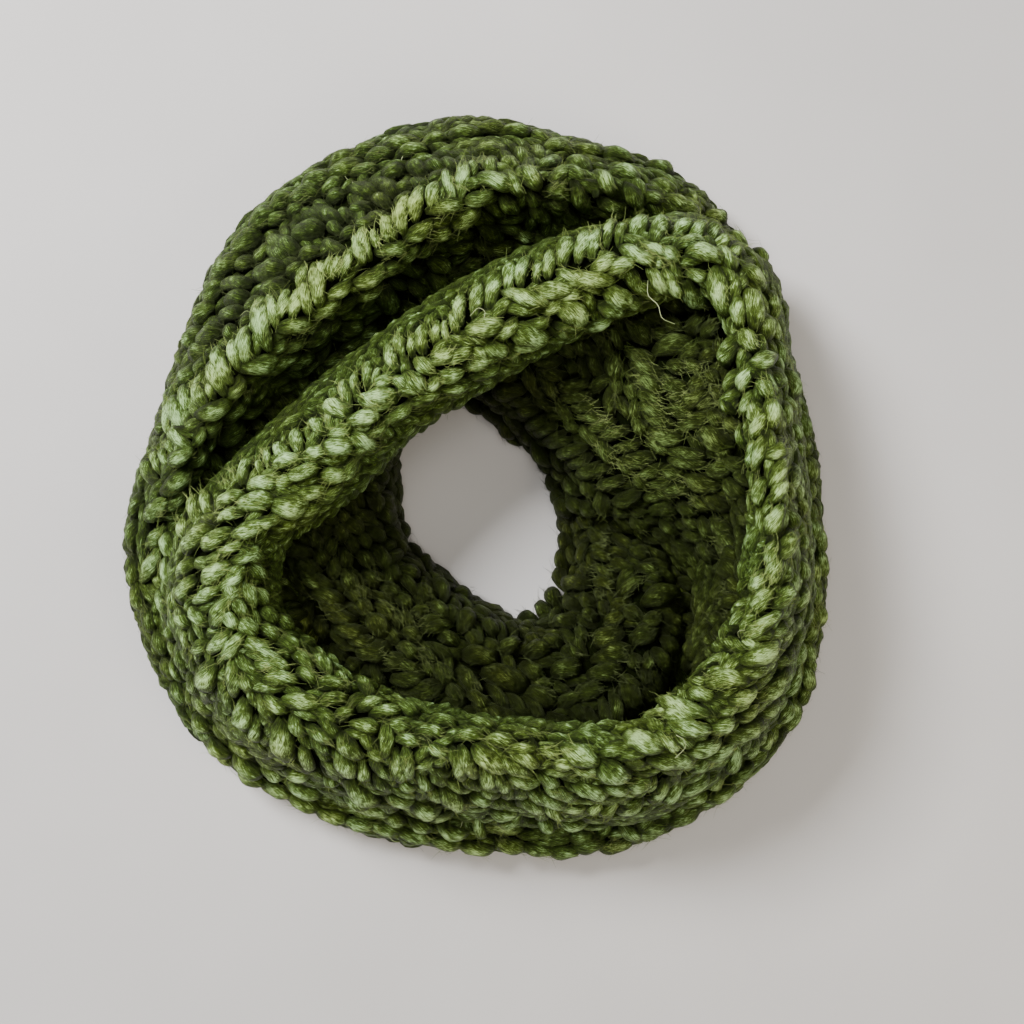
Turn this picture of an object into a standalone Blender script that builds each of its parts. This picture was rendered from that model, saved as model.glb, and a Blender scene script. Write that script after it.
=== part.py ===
"""A chunky rib-knit loop scarf, wound into two loops and laid down on a flat surface.

The strip is modelled as it lies: a lower loop with its outer side on the floor, an inner ring and an
inner wall that line the well in the middle, and an upper loop that lies over both as the rim and crosses
the well's top edge as a band. Each stretch is a wall of knitted cloth with its ribs raised on the outer
side. The layers that nobody sees are one rounded solid below them.
Lengths in the tables are millimetres, +Z up, the origin on the floor below the middle of the scarf.
"""
from collections import namedtuple

import bmesh
import bpy
import numpy as np
from mathutils import Vector
from mathutils.bvhtree import BVHTree

# Driving sizes, in millimetres
KNIT_WALL = 7.0
RIB_RELIEF = 2.8
SEAM_GAP = 0.3
INNER_EASING = 4
FOOT_INSET = 5.0
TUCK_REACH = 11.0
TUCK_DROP = 4.0
CURL_REACH = 3.0
CURL_DROP = 14.0
CURL_DROP_RIGHT = 7.0
STATION_LENGTH = 13.5
STEPS_PER_RAIL = 3
SLOPE_STEP = 4.0
RAIL_STEP = 0.45

# The hidden layers
CORE_STATIONS = 46
CORE_STEPS = 9
CORE_FINER = 6
CORE_CLEARANCE = 0.8
CORE_EDGE_INSET = 17.0
CORE_LOWEST = 3.0
CORE_HIGHEST = 80.0
WELL_CENTRE = (0.0, -15.0)

# Each row is one section across a stretch, and each column a line that runs along the ribs
UpperSection = namedtuple("UpperSection", "place edge rib crest lip")
UPPER_LOOP = (
    UpperSection("corner right", (147, 61, 32), (136, 60, 71), (122, 64, 93), (110, 68, 88)),
    UpperSection("corner", (138, 98, 37), (122, 97, 74), (109, 91, 90), (99, 84, 84)),
    UpperSection("corner top", (112, 120, 49), (101, 106, 80), (93, 96, 91), (87, 84, 84)),
    UpperSection("band right", (62, 117, 50), (60, 107, 86), (61, 92, 95), (59, 74, 84)),
    UpperSection("band middle", (8, 101, 48), (13, 87, 87), (17, 70, 96), (22, 56, 82)),
    UpperSection("band left", (-50, 64, 48), (-39, 52, 87), (-32, 37, 96), (-25, 27, 82)),
    UpperSection("band end", (-99, 23, 48), (-84, 12, 87), (-73, 0, 97), (-60, -7, 82)),
    UpperSection("left", (-135, -16, 50), (-112, -23, 90), (-96, -26, 98), (-85, -27, 84)),
    UpperSection("left low", (-146, -52, 41), (-122, -52, 86), (-103, -50, 98), (-88, -50, 84)),
    UpperSection("lower left", (-126, -109, 35), (-103, -93, 85), (-86, -81, 99), (-69, -74, 86)),
    UpperSection("bottom left", (-70, -146, 33), (-54, -122, 85), (-43, -105, 100), (-31, -95, 89)),
    UpperSection("bottom", (12, -159, 33), (14, -129, 85), (16, -112, 101), (19, -105, 90)),
    UpperSection("bottom right", (86, -155, 32), (77, -127, 85), (72, -110, 101), (69, -102, 90)),
    UpperSection("lower right", (140, -115, 33), (121, -96, 85), (110, -84, 101), (100, -77, 90)),
    UpperSection("right low", (155, -66, 37), (139, -58, 82), (125, -51, 103), (114, -49, 90)),
    UpperSection("right", (155, -16, 37), (142, -13, 78), (128, -10, 104), (119, -9, 92)),
    UpperSection("right high", (151, 27, 36), (139, 26, 76), (126, 27, 101), (117, 30, 91)),
)

LowerSection = namedtuple("LowerSection", "place belly slope rib recess")
LOWER_LOOP = (
    LowerSection("top right", (99, 146, 22), (89, 138, 42), (82, 129, 53), (73, 114, 37)),
    LowerSection("top", (47, 166, 22), (42, 150, 50), (37, 132, 73), (39, 117, 46)),
    LowerSection("top left", (-3, 175, 22), (-1, 155, 50), (-1, 129, 77), (8, 109, 42)),
    LowerSection("upper left high", (-60, 161, 22), (-48, 139, 50), (-32, 110, 77), (-23, 86, 40)),
    LowerSection("upper left", (-114, 122, 22), (-97, 104, 50), (-71, 80, 77), (-60, 63, 40)),
    LowerSection("upper left low", (-141, 65, 22), (-122, 59, 52), (-101, 52, 77), (-91, 34, 40)),
    LowerSection("left high", (-156, 17, 22), (-144, 16, 48), (-127, 17, 68), (-115, 8, 42)),
    LowerSection("left", (-167, -23, 20), (-157, -22, 36), (-146, -21, 44), (-130, -22, 42)),
    LowerSection("left low", (-161, -63, 20), (-153, -61, 31), (-140, -58, 36), (-126, -55, 38)),
    LowerSection("lower left", (-134, -119, 18), (-126, -113, 27), (-116, -105, 31), (-104, -96, 32)),
    LowerSection("bottom left", (-70, -160, 18), (-67, -152, 25), (-62, -142, 29), (-57, -132, 30)),
    LowerSection("bottom", (12, -175, 18), (13, -167, 25), (14, -154, 28), (15, -144, 29)),
    LowerSection("bottom right", (88, -167, 18), (86, -159, 25), (82, -148, 28), (79, -139, 29)),
    LowerSection("lower right", (153, -112, 20), (146, -109, 27), (135, -103, 30), (126, -97, 31)),
    LowerSection("right low", (165, -68, 22), (159, -66, 30), (149, -63, 34), (140, -60, 35)),
    LowerSection("right", (165, -16, 22), (159, -15, 30), (150, -13, 34), (142, -12, 35)),
    LowerSection("right high", (159, 30, 22), (153, 28, 30), (145, 28, 34), (137, 30, 35)),
    LowerSection("corner right", (147, 68, 22), (143, 66, 28), (135, 66, 32), (128, 68, 33)),
    LowerSection("corner", (131, 107, 20), (127, 104, 28), (119, 98, 32), (112, 92, 33)),
)

RingSection = namedtuple("RingSection", "place foot low middle high top")
INNER_RING = (
    RingSection("below the band", (-35, 25, 0), (-39, 27, 25), (-46, 31, 34), (-53, 35, 37), (-57, 38, 37)),
    RingSection("left high", (-39, 13, 0), (-43, 8, 30), (-56, 3, 44), (-71, -5, 52), (-81, -9, 50)),
    RingSection("left", (-33, -25, 0), (-39, -27, 33), (-57, -31, 50), (-75, -34, 60), (-87, -36, 52)),
    RingSection("lower left", (-20, -37, 0), (-28, -39, 33), (-42, -49, 48), (-58, -58, 60), (-70, -66, 52)),
    RingSection("bottom left", (-9, -47, 0), (-13, -53, 33), (-23, -66, 48), (-33, -82, 60), (-39, -93, 52)),
    RingSection("bottom", (2, -55, 0), (3, -63, 33), (3, -85, 46), (2, -100, 57), (1, -109, 52)),
    RingSection("bottom right", (22, -64, 0), (26, -73, 32), (34, -95, 43), (39, -106, 50), (42, -113, 44)),
    RingSection("lower right", (39, -53, 0), (48, -67, 30), (71, -91, 44), (82, -98, 42), (87, -101, 32)),
    RingSection("right", (44, -35, 0), (56, -42, 29), (86, -55, 43), (93, -57, 38), (97, -59, 28)),
    RingSection("right end", (42, -14, 0), (52, -14, 13), (77, -21, 22), (86, -24, 22), (90, -26, 20)),
)

WallSection = namedtuple("WallSection", "place foot one two three four top")
INNER_WALL = (
    WallSection("below the band", (-28, 37, 0), (-30, 40, 24), (-33, 45, 33), (-36, 49, 36), (-38, 52, 37), (-40, 54, 37)),
    WallSection("top", (-7, 47, 0), (-4, 51, 30), (3, 60, 42), (9, 69, 50), (14, 77, 53), (17, 82, 54)),
    WallSection("start", (14, 25, 0), (18, 35, 32), (33, 51, 48), (46, 61, 56), (57, 70, 58), (64, 75, 59)),
    WallSection("upper right", (26, 15, 0), (33, 25, 34), (54, 34, 51), (72, 54, 62), (87, 64, 66), (97, 72, 66)),
    WallSection("right upper", (37, 2, 0), (49, 11, 38), (68, 21, 55), (86, 37, 68), (102, 49, 76), (108, 54, 76)),
    WallSection("right high", (45, -6, 20), (64, -1, 42), (83, 7, 56), (100, 17, 69), (109, 24, 77), (112, 27, 80)),
    WallSection("right", (61, -14, 30), (80, -10, 44), (106, -10, 56), (113, -10, 66), (115, -10, 75), (116, -9, 81)),
    WallSection("right low", (98, -41, 30), (104, -43, 38), (109, -44, 49), (111, -44, 60), (112, -45, 71), (112, -46, 79)),
    WallSection("lower right", (95, -80, 38), (97, -80, 45), (98, -79, 53), (99, -79, 62), (99, -78, 71), (99, -78, 79)),
)

# Where the upper and the lower loop are parted into stretches, by the names of their rows
UPPER_STRETCHES = (
    ("crossing_band", "corner top", "left"),
    ("left_rim", "left", "bottom left"),
    ("bottom_rim", "bottom left", "lower right"),
    ("right_rim", "lower right", "corner top"),
)
LOWER_STRETCHES = (
    ("lower_loop_top", "top right", "upper left low"),
    ("lower_loop_left", "upper left low", "bottom left"),
    ("lower_loop_bottom", "bottom left", "right low"),
    ("lower_loop_right", "right low", "top right"),
)

# Each rib is the line it runs on, counted from the first, and half its width in lines
# The wall's shares are one for each line, less where the cloth turns tightly and at a free edge
Knit = namedtuple("Knit", "ribs wall_shares")
UPPER_KNIT = Knit(((1.0, 0.62), (3.0, 0.5)), (0.85, 1.0, 1.2, 0.9, 0.7))
LOWER_KNIT = Knit(((1.0, 0.9), (3.0, 0.6)), (1.0, 1.0, 1.0, 1.0, 1.0, 0.85))
RING_KNIT = Knit(((1.0, 0.5), (2.0, 0.5), (3.0, 0.5)), (1.0, 1.0, 1.0, 1.0, 0.85))
WALL_KNIT = Knit(((1.0, 0.5), (2.0, 0.5), (3.0, 0.5), (4.0, 0.5)), (1.0, 1.0, 1.0, 1.0, 1.0, 0.85))

# Yarn colours as linear red, green and blue, from the lit rim to the shaded well
YARN_COLOURS = {
    "rim": (0.150, 0.190, 0.045),
    "side": (0.110, 0.145, 0.035),
    "well": (0.080, 0.100, 0.022),
    "hidden": (0.060, 0.075, 0.020),
}
YARN_ROUGHNESS = 0.9
MILLIMETRE = 0.001


def hermite(values, knots, wanted, closed):
    """Smooth curve through values at knots, with slopes from the neighbours on both sides, read at wanted."""
    count = len(values)
    spans = np.diff(knots)
    chords = np.diff(np.concatenate([values, values[:1]]) if closed else values, axis=0)
    slopes = chords / spans.reshape((-1,) + (1,) * (values.ndim - 1))
    before = np.roll(slopes, 1, axis=0) if closed else np.concatenate([slopes[:1], slopes])
    after = slopes if closed else np.concatenate([slopes, slopes[-1:]])
    span_before = np.roll(spans, 1) if closed else np.concatenate([spans[:1], spans])
    span_after = spans if closed else np.concatenate([spans, spans[-1:]])
    share = (span_after / (span_before + span_after)).reshape((-1,) + (1,) * (values.ndim - 1))
    tangents = before * share + after * (1 - share)
    if closed:
        wanted = np.mod(wanted, knots[-1])
    cell = np.clip(np.searchsorted(knots, wanted, side="right") - 1, 0, len(spans) - 1)
    following = (cell + 1) % count
    part = ((wanted - knots[cell]) / spans[cell]).reshape((-1,) + (1,) * (values.ndim - 1))
    span = spans[cell].reshape(part.shape)
    return ((2 * part**3 - 3 * part**2 + 1) * values[cell]
            + (part**3 - 2 * part**2 + part) * span * tangents[cell]
            + (3 * part**2 - 2 * part**3) * values[following]
            + (part**3 - part**2) * span * tangents[following])


def row_knots(rows, closed):
    """Distance along the stretch at each row: the mean step of all its lines."""
    loop = np.concatenate([rows, rows[:1]]) if closed else rows
    steps = np.linalg.norm(np.diff(loop, axis=0), axis=2).mean(axis=1)
    return np.concatenate([[0.0], np.cumsum(steps)])


def surface(rows, stations, rails, closed):
    """Points of a stretch at stations along it and rails across it, curved through its lines."""
    return surface_at(rows, row_knots(rows, closed), row_rails(rows), stations, rails, closed)


def row_rails(rows):
    """Distance across the stretch at each line: the mean width of all its rows."""
    widths = np.linalg.norm(np.diff(rows, axis=1), axis=2).mean(axis=0)
    return np.concatenate([[0.0], np.cumsum(widths)])


def surface_at(rows, knots, rail_knots, stations, rails, closed):
    """Any vectors given at the rows' points, curved through both ways."""
    across = np.swapaxes(hermite(rows, knots, stations, closed), 0, 1)
    wanted = np.interp(rails, np.arange(len(across)), rail_knots)
    return np.swapaxes(hermite(across, rail_knots, wanted, False), 0, 1)


def outward(rows, stations, rails, closed):
    """Unit normals of a stretch, from its slopes along and across, turned to the side that faces up."""
    last_rail = rows.shape[1] - 1
    ends = (-np.inf, np.inf) if closed else (0.0, row_knots(rows, closed)[-1])
    low, high = (np.clip(stations + step, *ends) for step in (-SLOPE_STEP, SLOPE_STEP))
    left, right = (np.clip(rails + step, 0, last_rail) for step in (-RAIL_STEP, RAIL_STEP))
    along = surface(rows, high, rails, closed) - surface(rows, low, rails, closed)
    across = surface(rows, stations, right, closed) - surface(rows, stations, left, closed)
    normal = np.cross(along, across)
    normal /= np.linalg.norm(normal, axis=2, keepdims=True)
    return normal if normal[..., 2].mean() > 0 else -normal


def wall_depths(rows, closed, shares):
    """How far and which way the plain inner side lies below each row's points, level at a foot on the floor."""
    stations = row_knots(rows, closed)[:len(rows)]
    normal = outward(rows, stations, np.arange(rows.shape[1], dtype=float), closed)
    depths = normal * (KNIT_WALL * np.array(shares))[None, :, None]
    on_floor = rows[:, 0, 2] == 0
    depths[on_floor, 0, 2] = 0.0
    return depths


def eased(grid):
    """Evens a grid out across its lines and then along them, its edges kept."""
    grid = grid.copy()
    for _ in range(INNER_EASING):
        grid[:, 1:-1] = (grid[:, :-2] + grid[:, 1:-1] + grid[:, 2:]) / 3
    for _ in range(INNER_EASING):
        grid[1:-1] = (grid[:-2] + grid[1:-1] + grid[2:]) / 3
    return grid


def relief(rails, ribs):
    """How far each line lies below the ribs' tops: 0 on a rib, RIB_RELIEF in a furrow, a cosine between."""
    rise = np.zeros(len(rails))
    for centre, half_width in ribs:
        distance = np.clip(np.abs(rails - centre) / half_width, 0, 1)
        rise = np.maximum(rise, 0.5 + 0.5 * np.cos(np.pi * distance))
    return RIB_RELIEF * (1 - rise)


def quads(a, b, c, d):
    """Two triangles for each set of four corners, split from a to c."""
    return np.stack([a, b, c, a, c, d], axis=-1).reshape(-1, 3)


def closed_wall(outer, inner):
    """Vertices and faces of the solid between two grids of one size."""
    stations, steps = outer.shape[:2]
    points = np.concatenate([outer.reshape(-1, 3), inner.reshape(-1, 3)])
    number = np.arange(stations * steps).reshape(stations, steps)
    below = number + stations * steps

    faces = [
        quads(number[:-1, :-1], number[1:, :-1], number[1:, 1:], number[:-1, 1:]),
        quads(below[:-1, :-1], below[:-1, 1:], below[1:, 1:], below[1:, :-1]),
        quads(number[:-1, 0], below[:-1, 0], below[1:, 0], number[1:, 0]),
        quads(number[:-1, -1], number[1:, -1], below[1:, -1], below[:-1, -1]),
        quads(number[0, :-1], number[0, 1:], below[0, 1:], below[0, :-1]),
        quads(number[-1, :-1], below[-1, :-1], below[-1, 1:], number[-1, 1:]),
    ]
    return points, np.concatenate(faces)


def add_solid(name, points, faces, colour, collection):
    """One named object of flat faces with its own yarn material, its faces turned outwards."""
    mesh = bpy.data.meshes.new(name)
    mesh.from_pydata((points * MILLIMETRE).tolist(), [], faces.tolist())
    shape = bmesh.new()
    shape.from_mesh(mesh)
    bmesh.ops.recalc_face_normals(shape, faces=shape.faces)
    shape.to_mesh(mesh)
    shape.free()
    mesh.shade_smooth()
    material = bpy.data.materials.new(name + "_yarn")
    material.use_nodes = True
    shader = material.node_tree.nodes["Principled BSDF"]
    shader.inputs["Base Color"].default_value = (*YARN_COLOURS[colour], 1.0)
    shader.inputs["Roughness"].default_value = YARN_ROUGHNESS
    shader.inputs["Metallic"].default_value = 0.0
    mesh.materials.append(material)
    piece = bpy.data.objects.new(name, mesh)
    collection.objects.link(piece)
    return piece


def knit_wall(name, rows, knit, colour, collection, start, end, closed):
    """A stretch of knitted cloth: ribs raised on its outer side, a plain inner side."""
    stations = np.linspace(start, end, round((end - start) / STATION_LENGTH) + 1)
    rails = np.linspace(0, rows.shape[1] - 1, (rows.shape[1] - 1) * STEPS_PER_RAIL + 1)
    grid = surface(rows, stations, rails, closed)
    outer = grid - outward(rows, stations, rails, closed) * relief(rails, knit.ribs)[None, :, None]
    depths = wall_depths(rows, closed, knit.wall_shares)
    inner = grid - eased(surface_at(depths, row_knots(rows, closed), row_rails(rows), stations, rails, closed))
    on_floor = grid[:, 0, 2] <= 0
    for side in (outer, inner):
        side[..., 2] = np.maximum(side[..., 2], 0.0)
        side[on_floor, 0, 2] = 0.0
    points, faces = closed_wall(outer, inner)
    return add_solid(name, points, faces, colour, collection)


def table(sections):
    """The rows of a table as an array: section, line, coordinate."""
    return np.array([section[1:] for section in sections], float)


def plan_direction(start, end):
    """Unit vectors in plan from one line of points to another."""
    step = (end - start) * (1, 1, 0)
    return step / np.linalg.norm(step, axis=1, keepdims=True)


def upper_rows():
    """The upper loop's lines, with the curl that its inner edge ends in."""
    rows = table(UPPER_LOOP)
    crest, lip = rows[:, 2], rows[:, 3]
    curl = lip + plan_direction(crest, lip) * CURL_REACH - (0, 0, CURL_DROP)
    beside_wall = np.array(["right" in section.place and "band" not in section.place for section in UPPER_LOOP])
    curl[beside_wall] = lip[beside_wall] - (0, 0, CURL_DROP_RIGHT)
    return np.concatenate([rows, curl[:, None]], axis=1)


def lower_rows():
    """The lower loop's lines, from its foot on the floor to the tuck that goes on below the upper loop."""
    rows = table(LOWER_LOOP)
    belly, recess = rows[:, 0], rows[:, 3]
    inwards = plan_direction(belly, recess)
    foot = (belly + inwards * FOOT_INSET) * (1, 1, 0)
    tuck = recess + inwards * TUCK_REACH - (0, 0, TUCK_DROP)
    return np.concatenate([foot[:, None], rows, tuck[:, None]], axis=1)


def parted_loop(rows, sections, stretches, knit, colour, collection):
    """A closed loop made as stretches that meet with a seam gap."""
    knots = row_knots(rows, True)
    places = [section.place for section in sections]
    pieces = []
    for name, first, last in stretches:
        start = knots[places.index(first)] + SEAM_GAP / 2
        end = knots[places.index(last)] - SEAM_GAP / 2
        if end < start:
            end += knots[-1]
        pieces.append(knit_wall(name, rows, knit, colour, collection, start, end, True))
    return pieces


def open_stretch(name, sections, knit, colour, collection):
    """A stretch with two ends: its foot stands on the floor, its top edge is free."""
    rows = table(sections)
    knots = row_knots(rows, False)
    return knit_wall(name, rows, knit, colour, collection, 0.0, knots[-1], False)


def ceiling_above(trees, x, y):
    """Height of the lowest cloth above a point of the floor, or of CORE_HIGHEST."""
    lowest = CORE_HIGHEST + CORE_CLEARANCE
    for tree in trees:
        hit = tree.ray_cast(Vector((x, y, -1.0)) * MILLIMETRE, Vector((0, 0, 1)))
        if hit[0] is not None:
            lowest = min(lowest, hit[0].z / MILLIMETRE)
    return lowest


def edge_radius(line, angles):
    """Radius round the well's centre of a line of points, read at the given angles."""
    offset = line[:, :2] - WELL_CENTRE
    turn = np.arctan2(offset[:, 1], offset[:, 0]) % (2 * np.pi)
    order = np.argsort(turn)
    radius = np.hypot(offset[:, 0], offset[:, 1])
    return np.interp(angles, turn[order], radius[order], period=2 * np.pi)


def lowest_around(values, axis, ends):
    """The lowest of the values within one coarse step on both sides, along one axis."""
    pads = [(0, 0), (0, 0)]
    pads[axis] = (CORE_FINER, CORE_FINER)
    padded = np.pad(values, pads, mode=ends)
    shifts = [np.roll(padded, shift, axis=axis) for shift in range(-CORE_FINER, CORE_FINER + 1)]
    inside = [slice(None), slice(None)]
    inside[axis] = slice(CORE_FINER, -CORE_FINER)
    return np.min(shifts, axis=0)[tuple(inside)]


def folded_layers(pieces, collection):
    """The hidden layers: a ring with a flat underside whose top keeps CORE_CLEARANCE below the cloth."""
    trees = []
    for piece in pieces:
        mesh = piece.data
        trees.append(BVHTree.FromPolygons([v.co for v in mesh.vertices], [p.vertices for p in mesh.polygons]))
    angles = np.linspace(0, 2 * np.pi, CORE_STATIONS * CORE_FINER, endpoint=False)
    feet = np.concatenate([table(INNER_RING)[:, 0], table(INNER_WALL)[:, 0]])
    inner_radius = edge_radius(feet[feet[:, 2] == 0], angles) + CORE_EDGE_INSET
    outer_radius = edge_radius(lower_rows()[:, 0], angles) - CORE_EDGE_INSET
    share = np.linspace(0, 1, (CORE_STEPS - 1) * CORE_FINER + 1)
    radius = inner_radius[:, None] + (outer_radius - inner_radius)[:, None] * share
    x = WELL_CENTRE[0] + radius * np.cos(angles)[:, None]
    y = WELL_CENTRE[1] + radius * np.sin(angles)[:, None]
    ceiling = np.array([[ceiling_above(trees, a, b) for a, b in zip(*row)] for row in zip(x, y)])
    lowest = lowest_around(lowest_around(ceiling, 0, "wrap"), 1, "edge")
    height = np.maximum(lowest - CORE_CLEARANCE, CORE_LOWEST)
    x, y, height = (values[::CORE_FINER, ::CORE_FINER] for values in (x, y, height))
    top = np.stack([x, y, height], axis=2)
    bottom = np.stack([x, y, np.zeros_like(height)], axis=2)
    points, faces = closed_ring(top, bottom)
    return add_solid("folded_layers", points, faces, "hidden", collection)


def closed_ring(outer, inner):
    """Vertices and faces of a ring solid between two grids that close on themselves."""
    stations, steps = outer.shape[:2]
    points = np.concatenate([outer.reshape(-1, 3), inner.reshape(-1, 3)])
    number = np.arange(stations * steps).reshape(stations, steps)
    below = number + stations * steps
    after, below_after = np.roll(number, -1, axis=0), np.roll(below, -1, axis=0)

    faces = [
        quads(number[:, :-1], number[:, 1:], after[:, 1:], after[:, :-1]),
        quads(below[:, :-1], below_after[:, :-1], below_after[:, 1:], below[:, 1:]),
        quads(number[:, 0], after[:, 0], below_after[:, 0], below[:, 0]),
        quads(number[:, -1], below[:, -1], below_after[:, -1], after[:, -1]),
    ]
    return points, np.concatenate(faces)


def main():
    """Clears the scene and builds the scarf in a collection of its own."""
    for leftover in list(bpy.data.objects):
        bpy.data.objects.remove(leftover)
    collection = bpy.data.collections.new("loop_scarf")
    bpy.context.scene.collection.children.link(collection)
    pieces = parted_loop(upper_rows(), UPPER_LOOP, UPPER_STRETCHES, UPPER_KNIT, "rim", collection)
    pieces += parted_loop(lower_rows(), LOWER_LOOP, LOWER_STRETCHES, LOWER_KNIT, "side", collection)
    pieces.append(open_stretch("inner_ring", INNER_RING, RING_KNIT, "well", collection))
    pieces.append(open_stretch("inner_wall", INNER_WALL, WALL_KNIT, "well", collection))
    folded_layers(pieces, collection)


main()
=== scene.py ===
import math
from collections import namedtuple

import bpy
import numpy as np
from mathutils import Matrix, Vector
from mathutils.bvhtree import BVHTree


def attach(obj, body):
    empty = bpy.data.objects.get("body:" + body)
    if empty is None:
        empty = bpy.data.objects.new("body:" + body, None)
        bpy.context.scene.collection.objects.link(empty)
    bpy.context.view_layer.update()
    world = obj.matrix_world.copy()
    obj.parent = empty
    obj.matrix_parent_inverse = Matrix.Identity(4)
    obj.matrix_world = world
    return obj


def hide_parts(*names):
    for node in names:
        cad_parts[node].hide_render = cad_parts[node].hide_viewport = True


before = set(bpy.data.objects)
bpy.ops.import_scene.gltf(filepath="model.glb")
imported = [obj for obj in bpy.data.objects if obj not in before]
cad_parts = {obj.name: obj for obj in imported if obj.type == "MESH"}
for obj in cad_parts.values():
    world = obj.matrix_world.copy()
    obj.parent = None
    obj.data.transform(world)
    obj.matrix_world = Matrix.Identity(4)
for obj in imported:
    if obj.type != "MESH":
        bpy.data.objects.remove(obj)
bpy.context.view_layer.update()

MILLIMETRE = 0.001
SEED = 20

# The camera: straight above, as the photograph was taken. Pixels of its 1024 x 1024 picture are read with it.
PICTURE = 1024
EYE = (17.3, -11.9, 650.0)
FLOOR_PIXEL = 0.494
SENSOR = 36.0

# The knitted cloth, in millimetres: its wall, the gap between two stretches, and the edges that turn in
KNIT_WALL = 7.0
SEAM_GAP = 0.3
CURL_REACH = 3
CURL_DEPTH = 14
LIP_DEPTH = 7
FOOT_REACH = 5
TUCK_REACH = 11
TUCK_DEPTH = 4

# The grid that carries it: steps along in millimetres, steps between two lines, and how its slopes are read
STATION_STEP = 4.5
RAIL_STEPS = 9
SLOPE_STEP = 4.0
RAIL_STEP = 0.45
EASING = 6

# The shell below the stitches: how deep in the wall it lies, and its bumps
SHELL_TOP = 0.44
SHELL_SINK = 0.6
SHELL_BUMP = 0.9
STITCH_PITCH = 8.6
BUMP_WIDTH = 7.0

# One ply: how flat and full it is, how far its tips go on and dip, its turn in radians a millimetre, how far
# it stays off the floor, and its rings and the sides of each
PLY_FLATTENING = 0.9
PLY_FULLNESS = 1.2
TIP_REACH = 1.5
TIP_DIP = 2.6
PLY_TWIST = 0.24
FLOOR_CLEARANCE = 0.2
SEEN_FINENESS = (11, 12)
ROW_FINENESS = (8, 8)

# The photograph's plies: height over the cloth, with more and brighter for long ones in pixels, width as a
# share of the length at most, and how far past its cloth a ply may lie
SEEN_HEIGHT = -0.4
PROUD = 1.1
PROUD_LENGTH = 18.0
PROUD_SPAN = 8.0
# Long plies that stand proud are painted PROUD_LIGHT brighter, as more light reaches them.
PROUD_LIGHT = 0.18
SLIMNESS = 0.6
PAST_EDGE = 12.0
WELL_FULLNESS = 1.15

# Rows of plies where the photograph shows none. A rib has three columns, each given as its offset across the
# rib, its plies' lean in radians, half length, width and pitch.
COLUMN_WIDTH = 25.0
RIB_COLUMNS = (
    (-5.5, 0.95, 8.5, 6.8, 6.3),
    (5.0, -0.5, 9.5, 7.2, 7.0),
    (13.0, 0.15, 6.5, 8.0, 8.5),
)
ROW_HEIGHT = -1.4
# ROW_LIGHT is painted shade on the filling rows' colour.
ROW_LIGHT = 0.75
COVERED_WITHIN = 9.0
CLOSE_BESIDE = 4.0
CLOSE_SINK = 2.6

# Short plies in the gaps: height over the cloth, square millimetres for each point that is tried, the least
# and the widest gap, the distance between two plies, and the gap from which they are full size
GAP_HEIGHT = -3.2
GAP_CELL = 5.0
GAP_LEAST = 0.6
GAP_REACH = 13.0
GAP_SPACING = 5.4
WIDE_GAP = 3.0

# Plies on the folded layers, and the layer tucked below the crossing band. BAND_RAIL is the line of the band's
# grid that it hangs from, TUCK_TOP how far below that line it begins, and TUCK_FOOT how high it ends.
NO_WALL = -1
CORE_CELL = 6.5
CORE_HALF = 6.5
CORE_WIDTH = 7.0
DARKEST_OPENNESS = 0.04
BAND_RAIL = 12
TUCK_STATIONS = 14
TUCK_LEVELS = 8
TUCK_WALL = 5.0
TUCK_TOP = 9
TUCK_FOOT = 20

# Light that reaches a ply, from 0 to 1, found with rays and painted into its colour as shade
LIGHT_WAYS = 16
LIGHT_REACH = 140.0
GOLDEN_ANGLE = 2.4
READ_HEIGHT = 4.0
SEEN_LIGHT = 0.45
SLOPE_SHADE = 0.5
SIDE_SLOPE_SHADE = 0.85

# Fibres: how many stand on a ply, how many times over on the photograph's plies, and their sizes
FIBRES_A_PLY = 7
SEEN_FIBRES = 4
FIBRE_SPREAD = 0.42
FIBRE_HALF_WIDTH = 0.08
HAIR_HALF_WIDTH = 0.11
HAIR_POINTS = 12
HAIR_LIFT = 3.5

# Lines along the ribs, in millimetres: the same points as the CAD's, one row for each section across the
# stretch
UPPER_LOOP = (
    ("corner right", (147, 61, 32), (136, 60, 71), (122, 64, 93), (110, 68, 88)),
    ("corner", (138, 98, 37), (122, 97, 74), (109, 91, 90), (99, 84, 84)),
    ("corner top", (112, 120, 49), (101, 106, 80), (93, 96, 91), (87, 84, 84)),
    ("band right", (62, 117, 50), (60, 107, 86), (61, 92, 95), (59, 74, 84)),
    ("band middle", (8, 101, 48), (13, 87, 87), (17, 70, 96), (22, 56, 82)),
    ("band left", (-50, 64, 48), (-39, 52, 87), (-32, 37, 96), (-25, 27, 82)),
    ("band end", (-99, 23, 48), (-84, 12, 87), (-73, 0, 97), (-60, -7, 82)),
    ("left", (-135, -16, 50), (-112, -23, 90), (-96, -26, 98), (-85, -27, 84)),
    ("left low", (-146, -52, 41), (-122, -52, 86), (-103, -50, 98), (-88, -50, 84)),
    ("lower left", (-126, -109, 35), (-103, -93, 85), (-86, -81, 99), (-69, -74, 86)),
    ("bottom left", (-70, -146, 33), (-54, -122, 85), (-43, -105, 100), (-31, -95, 89)),
    ("bottom", (12, -159, 33), (14, -129, 85), (16, -112, 101), (19, -105, 90)),
    ("bottom right", (86, -155, 32), (77, -127, 85), (72, -110, 101), (69, -102, 90)),
    ("lower right", (140, -115, 33), (121, -96, 85), (110, -84, 101), (100, -77, 90)),
    ("right low", (155, -66, 37), (139, -58, 82), (125, -51, 103), (114, -49, 90)),
    ("right", (155, -16, 37), (142, -13, 78), (128, -10, 104), (119, -9, 92)),
    ("right high", (151, 27, 36), (139, 26, 76), (126, 27, 101), (117, 30, 91)),
)
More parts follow.
